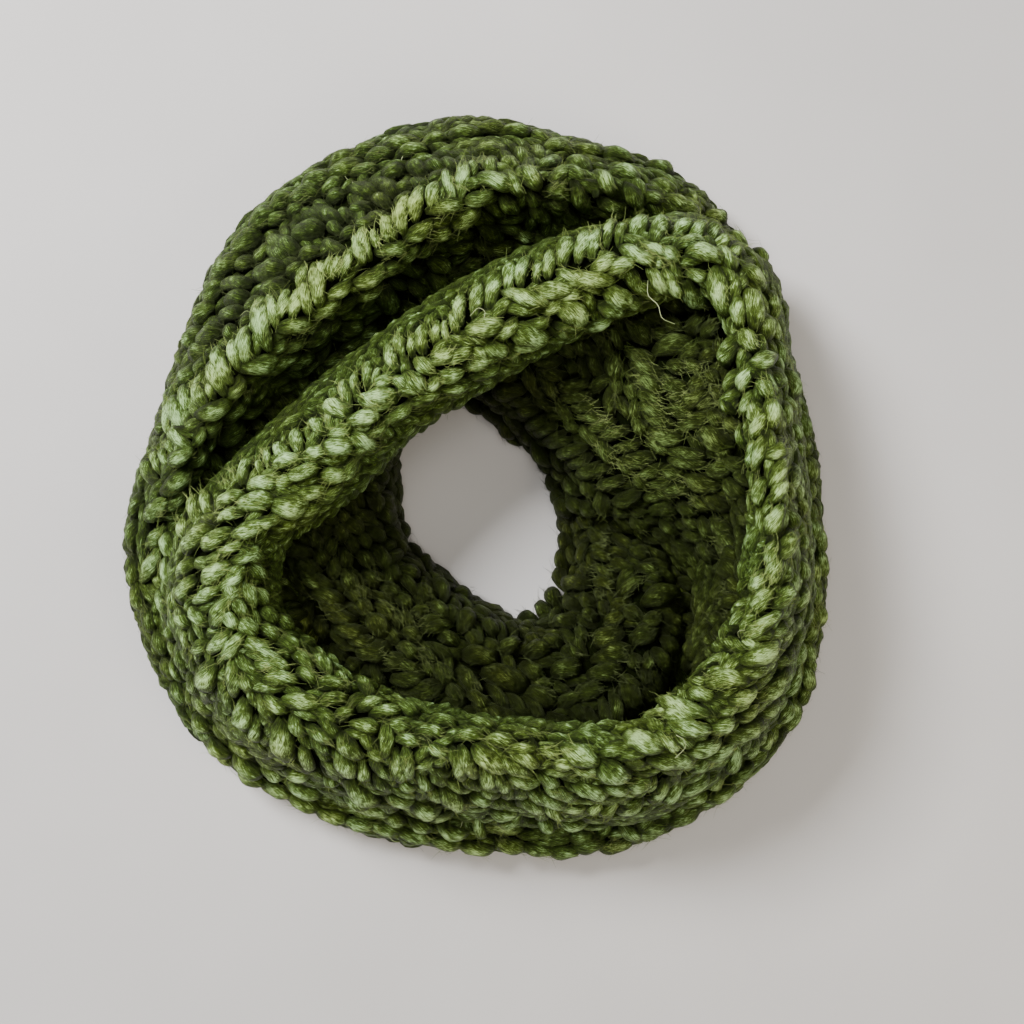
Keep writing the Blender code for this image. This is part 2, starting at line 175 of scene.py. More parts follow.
LOWER_LOOP = (
    ("top right", (99, 146, 22), (89, 138, 42), (82, 129, 53), (73, 114, 37)),
    ("top", (47, 166, 22), (42, 150, 50), (37, 132, 73), (39, 117, 46)),
    ("top left", (-3, 175, 22), (-1, 155, 50), (-1, 129, 77), (8, 109, 42)),
    ("upper left high", (-60, 161, 22), (-48, 139, 50), (-32, 110, 77), (-23, 86, 40)),
    ("upper left", (-114, 122, 22), (-97, 104, 50), (-71, 80, 77), (-60, 63, 40)),
    ("upper left low", (-141, 65, 22), (-122, 59, 52), (-101, 52, 77), (-91, 34, 40)),
    ("left high", (-156, 17, 22), (-144, 16, 48), (-127, 17, 68), (-115, 8, 42)),
    ("left", (-167, -23, 20), (-157, -22, 36), (-146, -21, 44), (-130, -22, 42)),
    ("left low", (-161, -63, 20), (-153, -61, 31), (-140, -58, 36), (-126, -55, 38)),
    ("lower left", (-134, -119, 18), (-126, -113, 27), (-116, -105, 31), (-104, -96, 32)),
    ("bottom left", (-70, -160, 18), (-67, -152, 25), (-62, -142, 29), (-57, -132, 30)),
    ("bottom", (12, -175, 18), (13, -167, 25), (14, -154, 28), (15, -144, 29)),
    ("bottom right", (88, -167, 18), (86, -159, 25), (82, -148, 28), (79, -139, 29)),
    ("lower right", (153, -112, 20), (146, -109, 27), (135, -103, 30), (126, -97, 31)),
    ("right low", (165, -68, 22), (159, -66, 30), (149, -63, 34), (140, -60, 35)),
    ("right", (165, -16, 22), (159, -15, 30), (150, -13, 34), (142, -12, 35)),
    ("right high", (159, 30, 22), (153, 28, 30), (145, 28, 34), (137, 30, 35)),
    ("corner right", (147, 68, 22), (143, 66, 28), (135, 66, 32), (128, 68, 33)),
    ("corner", (131, 107, 20), (127, 104, 28), (119, 98, 32), (112, 92, 33)),
)
INNER_RING = (
    ("below the band", (-35, 25, 0), (-39, 27, 25), (-46, 31, 34), (-53, 35, 37), (-57, 38, 37)),
    ("left high", (-39, 13, 0), (-43, 8, 30), (-56, 3, 44), (-71, -5, 52), (-81, -9, 50)),
    ("left", (-33, -25, 0), (-39, -27, 33), (-57, -31, 50), (-75, -34, 60), (-87, -36, 52)),
    ("lower left", (-20, -37, 0), (-28, -39, 33), (-42, -49, 48), (-58, -58, 60), (-70, -66, 52)),
    ("bottom left", (-9, -47, 0), (-13, -53, 33), (-23, -66, 48), (-33, -82, 60), (-39, -93, 52)),
    ("bottom", (2, -55, 0), (3, -63, 33), (3, -85, 46), (2, -100, 57), (1, -109, 52)),
    ("bottom right", (22, -64, 0), (26, -73, 32), (34, -95, 43), (39, -106, 50), (42, -113, 44)),
    ("lower right", (39, -53, 0), (48, -67, 30), (71, -91, 44), (82, -98, 42), (87, -101, 32)),
    ("right", (44, -35, 0), (56, -42, 29), (86, -55, 43), (93, -57, 38), (97, -59, 28)),
    ("right end", (42, -14, 0), (52, -14, 13), (77, -21, 22), (86, -24, 22), (90, -26, 20)),
)
INNER_WALL = (
    ("below the band", (-28, 37, 0), (-30, 40, 24), (-33, 45, 33), (-36, 49, 36), (-38, 52, 37),
     (-40, 54, 37)),
    ("top", (-7, 47, 0), (-4, 51, 30), (3, 60, 42), (9, 69, 50), (14, 77, 53), (17, 82, 54)),
    ("start", (14, 25, 0), (18, 35, 32), (33, 51, 48), (46, 61, 56), (57, 70, 58), (64, 75, 59)),
    ("upper right", (26, 15, 0), (33, 25, 34), (54, 34, 51), (72, 54, 62), (87, 64, 66), (97, 72, 66)),
    ("right upper", (37, 2, 0), (49, 11, 38), (68, 21, 55), (86, 37, 68), (102, 49, 76), (108, 54, 76)),
    ("right high", (45, -6, 20), (64, -1, 42), (83, 7, 56), (100, 17, 69), (109, 24, 77), (112, 27, 80)),
    ("right", (61, -14, 30), (80, -10, 44), (106, -10, 56), (113, -10, 66), (115, -10, 75), (116, -9, 81)),
    ("right low", (98, -41, 30), (104, -43, 38), (109, -44, 49), (111, -44, 60), (112, -45, 71),
     (112, -46, 79)),
    ("lower right", (95, -80, 38), (97, -80, 45), (98, -79, 53), (99, -79, 62), (99, -78, 71), (99, -78, 79)),
)

# Plies of yarn as they lie in the photograph: tip to tip and width, in pixels of the picture.
# Each group names the stretches it lies on and the light painted into its plies' colour, from 0 to 1, lower
# where shade falls. Rib A is the broad rib of the lower loop's top, and rib B the crossing band.
STRANDS = (
    # Rib A, upper legs
    ("lower_loop_top lower_loop_left", 1.0, """
        262 298 268 347 18  268 296 275 326 11  286 291 279 316 11  298 290 291 316 12
        303 284 308 312 12  313 265 318 305 15  322 262 322 284 10  331 258 330 277 12
        337 256 334 275 10  349 250 343 273 10  356 236 362 262 13  364 228 369 257 13
        373 230 378 246 9   384 217 390 240 15  398 209 393 224 9   407 196 404 232 12
        421 187 415 219 14  436 184 434 208 13  445 170 454 198 10  462 160 460 194 13
        246 328 248 363 14  231 342 237 368 13  217 347 230 381 15  208 362 222 392 16
        206 384 210 396 10  195 382 203 405 13  180 386 192 419 14  173 397 188 431 17
        168 404 169 434 10  170 428 186 445 14  164 440 172 452 9   160 448 168 464 9
        152 450 158 471 10"""),
    # Rib A, lower legs
    ("lower_loop_top lower_loop_left", 0.95, """
        279 331 314 323 15  272 352 287 344 13  285 350 305 337 12  305 345 330 323 13
        322 334 340 320 12  342 330 361 322 20  240 368 278 358 17  262 374 300 353 14
        288 368 313 357 13  313 317 340 302 13  327 298 350 283 13  348 288 363 290 9
        359 300 381 286 13  380 288 395 310 20  355 284 384 266 16  380 274 399 266 14
        378 254 408 247 14  402 262 419 248 13  421 258 430 245 10  407 239 431 223 15
        430 240 450 229 16  429 213 463 204 14  453 226 478 208 19  466 202 491 193 14
        199 416 229 402 17  226 418 243 402 14  230 398 243 380 15  243 408 249 390 10
        206 436 221 422 15  222 444 242 424 20  196 446 202 427 12  209 452 214 441 9
        192 466 204 449 13  172 464 192 450 15  165 494 190 470 18  179 486 192 468 12
        148 520 169 501 16  167 509 186 489 12  147 546 164 527 13  141 581 159 547 14"""),
    # Top of the lower loop
    ("lower_loop_top lower_loop_right", 0.8, """
        479 178 512 186 17  508 172 520 192 14  522 168 540 184 18  540 165 560 160 13  552 178 568 166 13
        570 158 590 168 17  566 172 584 178 14  575 184 590 212 15  576 198 584 214 9   532 206 548 222 14
        502 200 518 212 14  527 196 538 206 12  548 190 566 186 13  550 202 568 206 13  598 172 612 192 15
        612 170 638 178 16  626 186 640 208 15  636 178 644 196 12  600 200 626 206 14  642 195 662 199 12
        596 210 628 214 12  648 165 672 172 14  655 180 676 192 14  668 196 690 208 14  678 206 700 216 14
        476 160 470 176 12  484 158 492 172 12  506 158 518 166 14  520 148 528 160 12  532 145 542 158 12
        545 148 570 146 14  480 228 500 242 15  476 244 494 256 13  450 250 472 246 12  500 228 520 232 12"""),
    # Edge of the lower loop
    ("lower_loop_top lower_loop_left lower_loop_right", 0.55, """
        384 146 418 140 14  366 160 392 153 14  400 154 426 148 13  352 172 376 168 13
        328 176 362 161 18  332 164 354 154 15  354 156 374 146 14  304 188 330 178 18
        324 192 342 180 12  290 202 318 193 18  272 210 292 196 16  424 142 446 136 13
        450 136 480 132 14  476 130 506 130 14  502 132 532 134 14  530 134 552 142 13
        550 142 572 150 13  572 148 606 152 14  604 154 632 160 14  252 228 275 211 20
        268 222 284 214 12  234 250 258 233 22  222 270 240 256 18  212 280 234 264 16
        205 300 222 280 17  196 322 212 304 18  186 346 202 330 22  188 358 210 350 17
        180 384 195 368 18  170 402 182 384 14  154 434 166 424 14  154 444 162 452 11
        146 456 156 482 14  140 492 148 470 13  132 520 142 494 14  132 550 136 522 14
        134 588 132 556 14  144 610 137 584 14  152 632 146 606 14  164 655 156 632 14
        174 680 164 658 13  188 702 174 682 13"""),
    # Top left of the lower loop
    ("lower_loop_top lower_loop_left", 0.3, """
        301 210 316 212 9   302 216 324 220 13  314 205 342 220 15  313 202 328 206 9
        328 200 344 192 16  329 222 340 230 12  294 236 322 230 21  292 220 293 231 8
        350 208 370 204 13  372 196 388 206 13  350 186 378 194 15  370 182 396 196 14
        384 178 404 168 18  408 162 424 172 14  394 190 412 184 12  320 252 332 244 12
        324 240 346 252 12  300 256 320 250 14  356 226 376 222 12  368 214 388 218 12
        428 160 444 172 13  340 236 356 226 12  282 228 288 240 11  268 240 298 252 17
        268 248 288 260 13  254 252 268 250 12  256 274 286 268 23  262 290 286 283 17
        222 286 250 284 14  226 301 246 296 20  220 318 242 311 15  224 326 236 338 14
        200 344 222 330 20  196 372 208 360 14  205 356 216 346 12  288 276 300 262 14
        246 308 262 298 14  236 266 254 260 14  256 262 270 244 12  280 262 296 262 12
        272 300 286 290 12  240 324 252 314 12  396 206 410 192 12  412 178 428 184 12
        428 180 446 172 12  440 160 458 168 12  288 214 300 204 12  338 210 350 218 12"""),
    # Recess between the ribs
    ("lower_loop_top lower_loop_left", 1.0, """
        431 262 450 268 16  430 276 446 290 15  452 284 466 276 13  410 286 426 296 14  422 300 440 308 13
        404 306 420 316 14  392 320 408 332 13  384 334 402 340 12  372 352 386 344 12  360 336 376 328 12
        462 268 482 262 13  492 252 512 246 13  516 232 534 238 13  340 352 356 360 15  326 366 344 356 13
        314 384 330 398 17  300 382 314 392 13  306 402 322 414 15  284 398 300 410 14  292 418 312 410 14
        268 412 288 424 15  256 424 272 440 14  246 438 262 448 13  230 452 248 462 14  214 456 228 470 13
        206 474 222 486 13  196 488 208 498 12  470 300 456 290 10"""),
    # Rib B, upper legs
    ("crossing_band left_rim right_rim", 0.9, """
        340 380 348 405 11  356 370 357 392 9   366 362 366 385 11  378 368 377 386 10  388 345 396 369 12
        398 332 401 356 11  412 334 411 353 10  425 325 423 351 13  435 321 434 343 10  444 321 447 339 8
        451 311 456 330 9   463 293 461 322 12  478 284 473 315 13  497 270 490 305 15  512 261 508 291 13
        528 257 521 285 12  538 259 535 281 9   550 251 547 276 12  570 236 562 264 16  588 230 578 260 14
        601 229 593 257 12  615 219 607 244 11  626 221 620 241 10  644 215 634 239 17  669 218 656 241 16
        691 219 673 237 14  704 221 690 241 14  718 223 708 241 13  731 235 716 249 13  742 244 732 258 12
        193 495 203 526 15  204 491 211 516 12  222 479 229 491 14  231 468 236 483 8   249 457 242 481 13
        256 459 261 473 8   265 447 267 467 8   275 444 288 457 13  296 429 300 452 13  308 421 323 433 13
        327 411 330 431 10  338 401 347 416 12  180 519 186 538 14  165 534 175 561 16  163 559 171 587 13"""),
    # Rib B, lower legs
    ("crossing_band left_rim right_rim", 0.95, """
        623 247 656 262 14  640 246 666 256 10  650 260 665 264 12  662 250 678 259 13  677 245 703 240 13
        689 252 723 260 17  719 247 735 268 14  593 268 614 256 14  608 272 633 262 14  559 271 602 279 13
        568 284 613 282 15  608 290 630 302 22  650 268 668 292 14  664 270 682 295 13  685 282 707 306 18
        689 272 707 277 12  538 292 572 290 16  505 292 547 304 15  545 312 561 301 13  558 306 584 322 22
        468 329 501 322 17  497 337 515 321 14  514 330 546 339 22  432 360 452 351 14  449 362 471 350 12
        408 375 425 390 18  427 392 438 375 11  365 400 395 395 16  417 360 433 371 14  395 378 409 386 12
        325 405 349 412 18  274 468 301 460 14  289 476 316 465 14  304 456 326 449 14  325 449 351 445 19
        321 478 346 470 18  249 485 279 480 16  274 482 291 478 12  219 506 241 495 14  240 505 273 500 19
        274 505 306 503 22  299 496 326 490 14  219 521 241 513 12  560 300 580 294 12  487 345 506 352 16
        515 348 538 342 14  466 366 490 360 14  438 378 462 370 15  470 352 486 358 14  350 422 378 414 15
        352 436 374 446 15  330 434 350 428 13  360 398 380 408 13  375 385 392 380 12  585 330 612 316 14"""),
    # Lower edge of the band
    ("crossing_band left_rim", 0.6, """
        600 306 622 312 16  625 300 642 306 14  556 326 584 326 12  520 344 548 336 14  470 378 500 366 14
        440 392 470 382 14  410 404 440 392 14  384 420 410 404 13  366 438 386 420 13  352 458 368 438 13
        340 480 356 458 14  318 500 340 484 14  296 515 320 502 14  270 530 296 518 13  372 410 396 402 12
        398 392 424 386 12  376 430 392 436 12  362 452 380 448 12  480 365 502 352 12  528 326 548 320 13"""),
    # Left rim, outer legs
    ("left_rim crossing_band bottom_rim", 0.85, """
        185 551 211 530 19  203 546 229 530 17  234 536 266 523 15  254 526 281 516 12  219 554 241 543 10
        234 561 258 548 12  204 581 229 565 17  221 589 243 566 14  177 576 191 561 14  180 601 193 579 15
        194 601 219 588 12  224 601 241 585 14  242 580 255 606 14  160 589 168 613 12  170 594 172 612 10
        176 611 187 626 14  170 624 168 641 12  170 640 175 656 10  184 632 188 649 10  178 649 185 671 14
        171 660 180 681 8   191 656 206 643 13  190 611 206 625 13  214 626 231 598 16  224 656 241 635 14
        209 651 229 632 14  240 621 256 632 16  244 640 271 648 14  249 652 281 657 12  257 665 288 668 14
        264 680 296 680 14  284 700 319 703 16  265 700 284 712 14  214 665 205 692 19  231 658 232 696 15
        240 675 251 690 14  190 672 196 693 14  187 690 190 706 9   195 697 211 713 18  194 716 208 731 14
        244 700 238 729 19  256 719 254 743 13  215 725 227 738 15  231 742 253 756 13  235 757 259 777 18
        209 742 227 757 14  225 580 240 600 14  232 600 244 616 13  222 612 236 628 13"""),
    # Left rim, inner side
    ("left_rim crossing_band bottom_rim", 0.65, """
        240 548 262 560 14  248 566 266 576 14  252 590 268 602 14  262 608 276 620 15  276 616 292 628 15
        262 626 280 636 14  280 640 298 650 15  296 652 314 664 14  300 668 318 680 14  318 684 346 684 15
        315 655 329 676 13  334 672 349 688 12  355 676 370 697 13  320 702 345 698 13  338 718 353 710 13
        311 728 331 742 12  340 736 359 757 17  360 708 384 700 13  372 713 399 709 13  397 703 417 714 13
        430 720 456 724 13  418 732 444 734 13  456 738 484 736 13  352 724 378 728 13  384 724 410 726 13
        398 738 420 742 12  486 740 514 744 13  514 736 544 738 12  470 722 496 728 12  508 750 534 748 12"""),
    # Bottom rim
    ("bottom_rim left_rim right_rim", 0.9, """
        282 722 290 761 21  293 718 302 736 14  303 748 311 769 13  264 765 281 778 15  287 775 311 772 15
        289 783 319 796 15  325 775 333 788 12  340 752 353 776 18  361 762 365 783 12  349 782 378 804 18
        344 792 366 810 14  352 802 389 815 14  394 752 398 784 14  405 750 409 779 13  400 785 415 790 12
        417 768 431 760 13  417 775 428 793 12  370 752 383 758 14  414 805 439 810 19  429 820 453 813 10
        429 748 447 756 12  450 752 460 781 13  460 750 474 778 14  482 768 489 791 14  471 798 491 802 16
        444 790 466 808 17  474 750 503 771 19  503 757 531 776 14  510 750 537 766 14  509 775 539 783 15
        491 812 516 814 15  476 815 482 839 11  528 790 568 806 14  545 782 575 800 14  539 775 556 787 14
        561 808 586 806 10  554 765 573 762 14  564 747 597 761 19  541 750 559 756 12  574 768 601 772 13
        599 765 629 776 22  574 785 604 796 17  604 788 629 790 13  628 785 649 782 19  646 793 655 781 9
        590 816 601 799 13  604 818 617 799 13  619 812 641 800 15  651 803 665 782 13  667 803 679 779 14
        627 735 661 746 21  659 735 677 749 12  649 762 693 762 19  390 796 412 802 14  383 812 405 824 14
        410 822 430 832 13  440 826 466 834 14  500 826 520 812 13  540 816 551 833 13  520 800 545 812 13
        560 822 586 824 13  622 828 640 838 12  430 790 444 800 13  496 776 506 792 13  546 800 562 820 11"""),
    # Lowest edge at the bottom
    ("lower_loop_bottom lower_loop_left bottom_rim", 0.75, """
        240 770 262 784 14  262 784 290 796 13  290 798 318 810 14  318 812 346 820 14
        346 822 374 826 14  372 826 400 832 13  400 832 432 840 13  430 842 462 846 14
        460 846 492 850 14  497 840 523 847 15  522 848 556 852 13  550 852 580 850 13
        571 840 591 838 14  574 848 603 843 14  600 848 632 840 13  630 840 660 832 13
        641 835 671 824 14  639 830 651 818 15  674 815 686 805 12  668 824 698 810 13
        698 808 724 794 13  611 838 626 830 12  484 826 521 829 14  722 790 742 773 13
        746 768 766 748 13  234 764 216 744 13  214 740 197 720 13"""),
    # Right rim
    ("right_rim bottom_rim crossing_band", 0.9, """
        716 268 728 313 20  738 298 740 326 14  744 268 763 286 16  750 290 757 326 19
        762 314 770 338 18  742 330 756 348 16  752 363 774 356 16
        752 366 742 390 15  738 372 726 392 14  750 393 742 414 13  736 392 730 414 11
        718 400 728 412 12  754 402 760 426 16  770 400 772 426 16  765 412 753 437 14
        765 435 754 471 13  718 408 739 392 12  755 440 748 467 10  770 456 786 448 14
        785 461 773 485 14  785 481 774 501 14  764 480 758 505 14
        795 465 790 491 12  780 507 768 531 16  786 510 799 527 13
        793 531 780 557 18  775 544 768 563 14  778 560 770 581 14
        750 591 766 572 16  770 583 778 561 15  786 581 790 566 12
        794 587 776 607 18  770 591 755 611 16  744 638 779 613 14
        743 641 759 648 12  771 636 789 625 12  744 661 777 644 18
        804 644 796 665 12  779 666 791 660 12  707 683 745 681 18
        731 701 755 689 14  757 699 788 671 16  798 667 786 696 12
        744 716 758 705 12  763 716 779 701 13  780 721 791 704 15  659 697 707 713 16
        644 716 669 714 9   671 721 709 729 17  711 731 733 721 16  729 739 763 723 16
        689 751 719 740 16  707 759 733 743 14  694 773 709 759 12  735 744 730 773 14
        757 739 748 758 14  770 734 764 751 12  681 793 707 775 15  722 774 710 791 15
        731 783 753 767 12  681 806 707 794 14  711 803 735 787 14  760 380 772 396 14
        774 372 786 386 14  740 426 744 448 10  664 715 690 722 14
        690 690 712 696 13"""),
    # Right rim, inner edge
    ("right_rim", 1.0, """
        723 366 737 338 18  714 448 722 430 12"""),
    # Right edge
    ("right_rim lower_loop_right lower_loop_bottom", 0.85, """
        786 372 796 398 15  799 412 806 438 13  790 424 802 440 12  793 440 804 456 11  804 438 807 456 12
        806 458 810 480 16  806 480 812 500 14  783 398 795 411 12  784 402 788 424 14  796 498 806 515 12
        809 502 816 520 12  812 518 816 540 12  804 520 800 533 10  801 531 805 550 14  818 528 822 552 12
        802 560 806 580 14  812 560 815 584 13  792 570 796 590 12  814 584 818 604 13  820 552 822 578 12
        806 586 798 612 13  808 612 820 624 14  803 628 796 644 13  814 626 808 643 13  806 642 814 660 13
        802 644 796 665 12  818 604 820 626 12  804 668 810 690 14  808 686 802 705 12  790 700 795 720 14
        812 660 812 674 12  798 706 786 730 13  770 292 774 320 13  776 340 786 366 13  764 262 758 248 13
        746 246 732 230 13  728 218 708 214 13  770 318 778 340 12  794 482 800 500 12  788 484 792 500 12"""),
    # Inner wall, first rib
    ("inner_wall", 0.6, """
        465 394 482 413 12  483 407 500 421 12  503 419 508 439 14  506 437 520 445 7   523 434 531 446 13
        534 443 551 465 12  537 464 551 474 9   551 471 565 478 9   565 479 579 493 12  583 481 593 497 14
        600 494 604 516 14  494 393 523 388 14  484 397 499 403 9   509 402 529 402 8   517 411 535 411 12
        527 428 546 419 10  535 435 554 425 11  543 443 563 433 9   549 447 571 441 9   559 456 586 449 11
        569 466 589 457 11  577 475 599 465 12  592 477 611 467 10  599 487 623 479 11  614 503 639 491 13
        614 512 629 514 11  631 519 646 531 13  631 513 646 515 9   646 500 662 492 12  650 512 668 502 12"""),
    # Inner wall, second rib
    ("inner_wall", 0.65, """
        529 353 554 349 12  535 362 559 360 11  541 371 563 375 11  559 387 586 383 11  561 397 590 395 10
        573 409 598 405 10  579 417 607 415 9   587 429 613 421 9   599 437 627 429 11  615 449 638 443 10
        623 461 653 457 15  639 476 663 467 11  525 367 535 393 10  531 387 542 397 9   544 377 557 397 10
        557 403 571 423 10  565 421 579 431 9   581 429 598 445 10  601 441 616 463 12  617 462 634 474 11
        634 476 650 488 11  650 486 676 480 12  664 492 690 488 12  660 470 684 476 12  652 490 670 496 11"""),
    # Inner wall, third rib
    ("inner_wall", 0.72, """
        593 329 603 347 9   609 329 619 346 9   605 339 608 356 9   614 354 618 381 14
        614 379 620 393 11  627 385 635 399 12  634 401 638 421 10  634 419 646 435 12
        627 324 649 343 15  627 349 653 359 12  631 361 661 373 13  635 377 662 391 14
        639 392 663 401 11  642 403 668 413 12  644 415 673 425 11  649 429 675 435 10
        654 443 681 439 13  652 334 668 336 12  655 352 690 342 16  680 356 698 346 14
        690 332 702 316 16  704 334 716 320 15  702 360 716 352 12  664 384 686 388 12
        660 379 671 379 7   690 388 706 376 16  668 396 688 392 11  682 404 704 392 13
        698 410 712 396 13  669 409 694 413 13  680 424 708 420 13  678 431 711 417 12
        699 430 729 449 19  667 450 703 457 11  669 460 705 466 11  707 471 731 464 14
        685 475 719 485 15  725 481 743 495 14  701 489 727 509 14  711 517 731 533 14
        714 537 743 553 14  744 514 766 526 14  560 344 573 353 12  576 339 583 353 10
        567 364 575 372 11  648 440 668 452 12  712 440 726 458 12  690 498 712 506 12
        724 460 742 466 12  668 364 684 370 12  684 364 702 372 12  704 372 716 384 12
        712 388 724 400 12  708 412 722 426 13  724 420 740 430 12  664 322 680 330 12
        644 312 660 322 14  664 300 682 308 13  684 300 700 308 12  716 340 722 356 12"""),
    # Inner wall, low
    ("inner_wall", 0.5, """
        713 519 733 536 14  721 551 743 557 13  717 564 743 576 17  724 584 746 591 13  721 601 741 599 12
        694 671 704 657 14  703 635 711 643 12  707 614 723 623 15  716 638 732 650 13  706 648 722 656 13
        726 612 742 622 13  728 630 742 642 13  700 520 712 540 12  700 542 714 560 12  678 506 694 516 12
        684 520 700 528 10  684 534 702 538 10  652 508 674 514 11  660 524 676 534 11  716 664 736 670 13"""),
    # Inner ring, lower rib
    ("inner_ring", 0.55, """
        281 544 309 553 13  299 561 319 573 14  302 577 331 587 13  313 593 341 601 13  321 604 343 611 11
        327 614 353 621 12  337 629 366 633 13  349 639 375 643 12  359 653 389 649 17  385 657 406 663 14
        393 663 419 671 10  393 681 423 675 11  403 691 439 685 12  401 690 430 696 11  419 701 442 689 13
        439 709 463 703 14  394 677 421 678 12  308 605 305 629 11  318 619 324 636 12  268 560 284 574 12
        276 590 292 600 12  330 648 346 660 12  344 662 360 668 12  372 664 384 690 10  452 716 476 712 12
        484 671 526 687 20  527 691 556 701 16  577 691 601 686 13  549 717 573 727 14  529 721 546 731 12
        500 712 520 724 12  508 728 528 738 12  476 702 492 716 12  559 704 580 696 12  588 712 598 730 12
        602 699 609 726 10  612 691 619 723 11  625 684 637 706 17  620 678 640 692 12  531 682 553 684 9"""),
    # Inner ring, upper legs
    ("inner_ring", 0.55, """
        311 531 320 544 14  317 551 326 563 11  333 539 330 553 11  333 559 336 576 14  344 549 350 566 11
        344 571 355 591 13  349 589 361 599 11  361 587 369 599 11  359 601 369 615 14  377 604 395 616 17
        369 617 383 636 16  387 631 397 641 12  393 611 403 626 12  403 611 413 627 11  404 631 421 639 12
        401 644 416 656 16  419 651 433 663 12  424 663 433 673 12  437 664 451 683 14  459 669 479 695 14
        448 686 462 700 12  470 692 488 708 12  488 706 508 722 12  346 520 362 530 12  336 524 346 538 12
        360 552 372 566 12  366 572 378 584 12  384 586 398 594 12  398 594 412 604 12  308 514 320 528 11"""),
    # Inner ring, first rib
    ("inner_ring", 0.55, """
        371 491 381 509 14  383 497 395 511 11  351 517 361 527 14  340 511 348 523 10  381 511 395 521 14
        389 529 401 541 15  369 529 383 539 11  361 534 371 544 10  375 547 387 567 12  387 561 401 551 11
        411 544 419 559 13  421 554 429 569 12  393 565 399 577 11  403 569 419 573 11  421 584 429 599 14
        435 579 445 598 13  433 604 447 615 12  453 595 471 592 14  450 605 455 619 11  468 609 462 629 14
        471 631 481 646 14  413 613 429 607 9   419 623 441 617 10  423 631 451 625 10  441 635 457 641 12
        465 655 495 660 16  501 651 516 639 17  507 619 515 633 12  527 653 549 647 19  529 634 538 644 11
        524 663 543 677 14  554 673 579 667 22  565 647 579 659 13  554 622 573 622 16  577 627 585 637 11
        583 611 593 619 12  561 586 589 584 13  589 529 607 541 10  591 537 608 539 9   591 545 609 547 8
        592 552 611 559 9   593 565 614 575 9   594 580 614 587 10  595 589 604 599 10  565 519 570 539 10
        574 519 578 531 9   569 544 576 563 10  584 544 580 563 9   581 563 589 571 11  560 600 576 606 12
        484 620 496 632 13  486 640 500 650 12  478 606 490 616 12  546 636 560 642 13  580 596 592 606 12
        400 522 408 536 12  396 540 406 552 11  430 572 440 582 11  376 468 388 480 12  366 480 378 490 12"""),
    # Edge of the opening
    ("inner_ring inner_wall", 0.5, """
        558 500 564 520 13  562 514 567 534 13  563 532 567 552 13  561 550 566 570 13  557 568 563 588 13
        547 588 557 604 13  537 602 549 618 12  520 612 536 622 12"""),
    # Where the inner wall meets the ring
    ("inner_wall inner_ring", 0.5, """
        558 498 566 514 12  566 502 580 510 13  580 506 596 514 13  594 514 610 522 13  562 512 574 524 12
        578 516 592 526 12  596 524 612 532 12  546 478 556 492 12  552 490 560 504 12  610 522 628 528 12"""),
    # Inner ring, right
    ("inner_ring", 0.55, """
        639 567 659 573 10  647 575 661 579 9   621 596 641 579 12  644 603 676 591 17  681 597 695 606 15
        684 569 701 575 10  683 581 701 591 12  665 554 672 563 10  671 567 681 579 11  624 607 641 619 12
        644 621 661 616 12  664 617 683 623 11  633 641 656 629 16  664 639 675 653 14  667 627 681 635 10
        647 669 650 654 11  654 651 669 673 12  643 671 651 683 14  593 661 629 657 13  589 676 621 671 15
        595 641 621 631 18  579 695 601 687 14  612 610 628 600 12  606 622 624 614 12  632 548 648 556 12
        644 536 660 544 12  664 540 678 550 11  690 552 704 562 11  628 656 640 668 12  604 648 630 650 12"""),
)

# Long single hairs in the photograph: the points of each one, from its root, in pixels of the picture
LONG_HAIRS = """
    648 280  648 295  658 305  662 318  675 324
    677 305  678 314  678 322
    342 212  350 218  355 226  352 232  345 228
    345 176  353 190  347 200
    352 182  375 192  390 203
    403 155  400 165  404 172
    240 316  246 311  252 313
    412 822  425 826  435 820
    448 830  460 828  463 815
    380 825  392 840  400 842
    676 735  684 740  685 748  675 758
    740 640  738 632  745 630
    470 316  478 308  485 312  483 320
    636 244  640 252  648 250"""


def hermite(values, knots, wanted, closed):
    """Smooth curve through values at knots, with slopes from the neighbours on both sides, read at wanted."""
    count = len(values)
    spans = np.diff(knots)
    chords = np.diff(np.concatenate([values, values[:1]]) if closed else values, axis=0)
    slopes = chords / spans.reshape((-1,) + (1,) * (values.ndim - 1))
    before = np.roll(slopes, 1, axis=0) if closed else np.concatenate([slopes[:1], slopes])
    after = slopes if closed else np.concatenate([slopes, slopes[-1:]])
    span_before = np.roll(spans, 1) if closed else np.concatenate([spans[:1], spans])
    span_after = spans if closed else np.concatenate([spans, spans[-1:]])
    share = (span_after / (span_before + span_after)).reshape((-1,) + (1,) * (values.ndim - 1))
    tangents = before * share + after * (1 - share)
    if closed:
        wanted = np.mod(wanted, knots[-1])
    cell = np.clip(np.searchsorted(knots, wanted, side="right") - 1, 0, len(spans) - 1)
    following = (cell + 1) % count
    part = ((wanted - knots[cell]) / spans[cell]).reshape((-1,) + (1,) * (values.ndim - 1))
    span = spans[cell].reshape(part.shape)
    return ((2 * part**3 - 3 * part**2 + 1) * values[cell]
            + (part**3 - 2 * part**2 + part) * span * tangents[cell]
            + (3 * part**2 - 2 * part**3) * values[following]
            + (part**3 - part**2) * span * tangents[following])


def row_knots(rows, closed):
    """Distance along a stretch at each row: the mean step of all its lines."""
    loop = np.concatenate([rows, rows[:1]]) if closed else rows
    return np.concatenate([[0.0], np.cumsum(np.linalg.norm(np.diff(loop, axis=0), axis=2).mean(axis=1))])


def row_rails(rows):
    """Distance across a stretch at each line: the mean width of all its rows."""
    return np.concatenate([[0.0], np.cumsum(np.linalg.norm(np.diff(rows, axis=1), axis=2).mean(axis=0))])


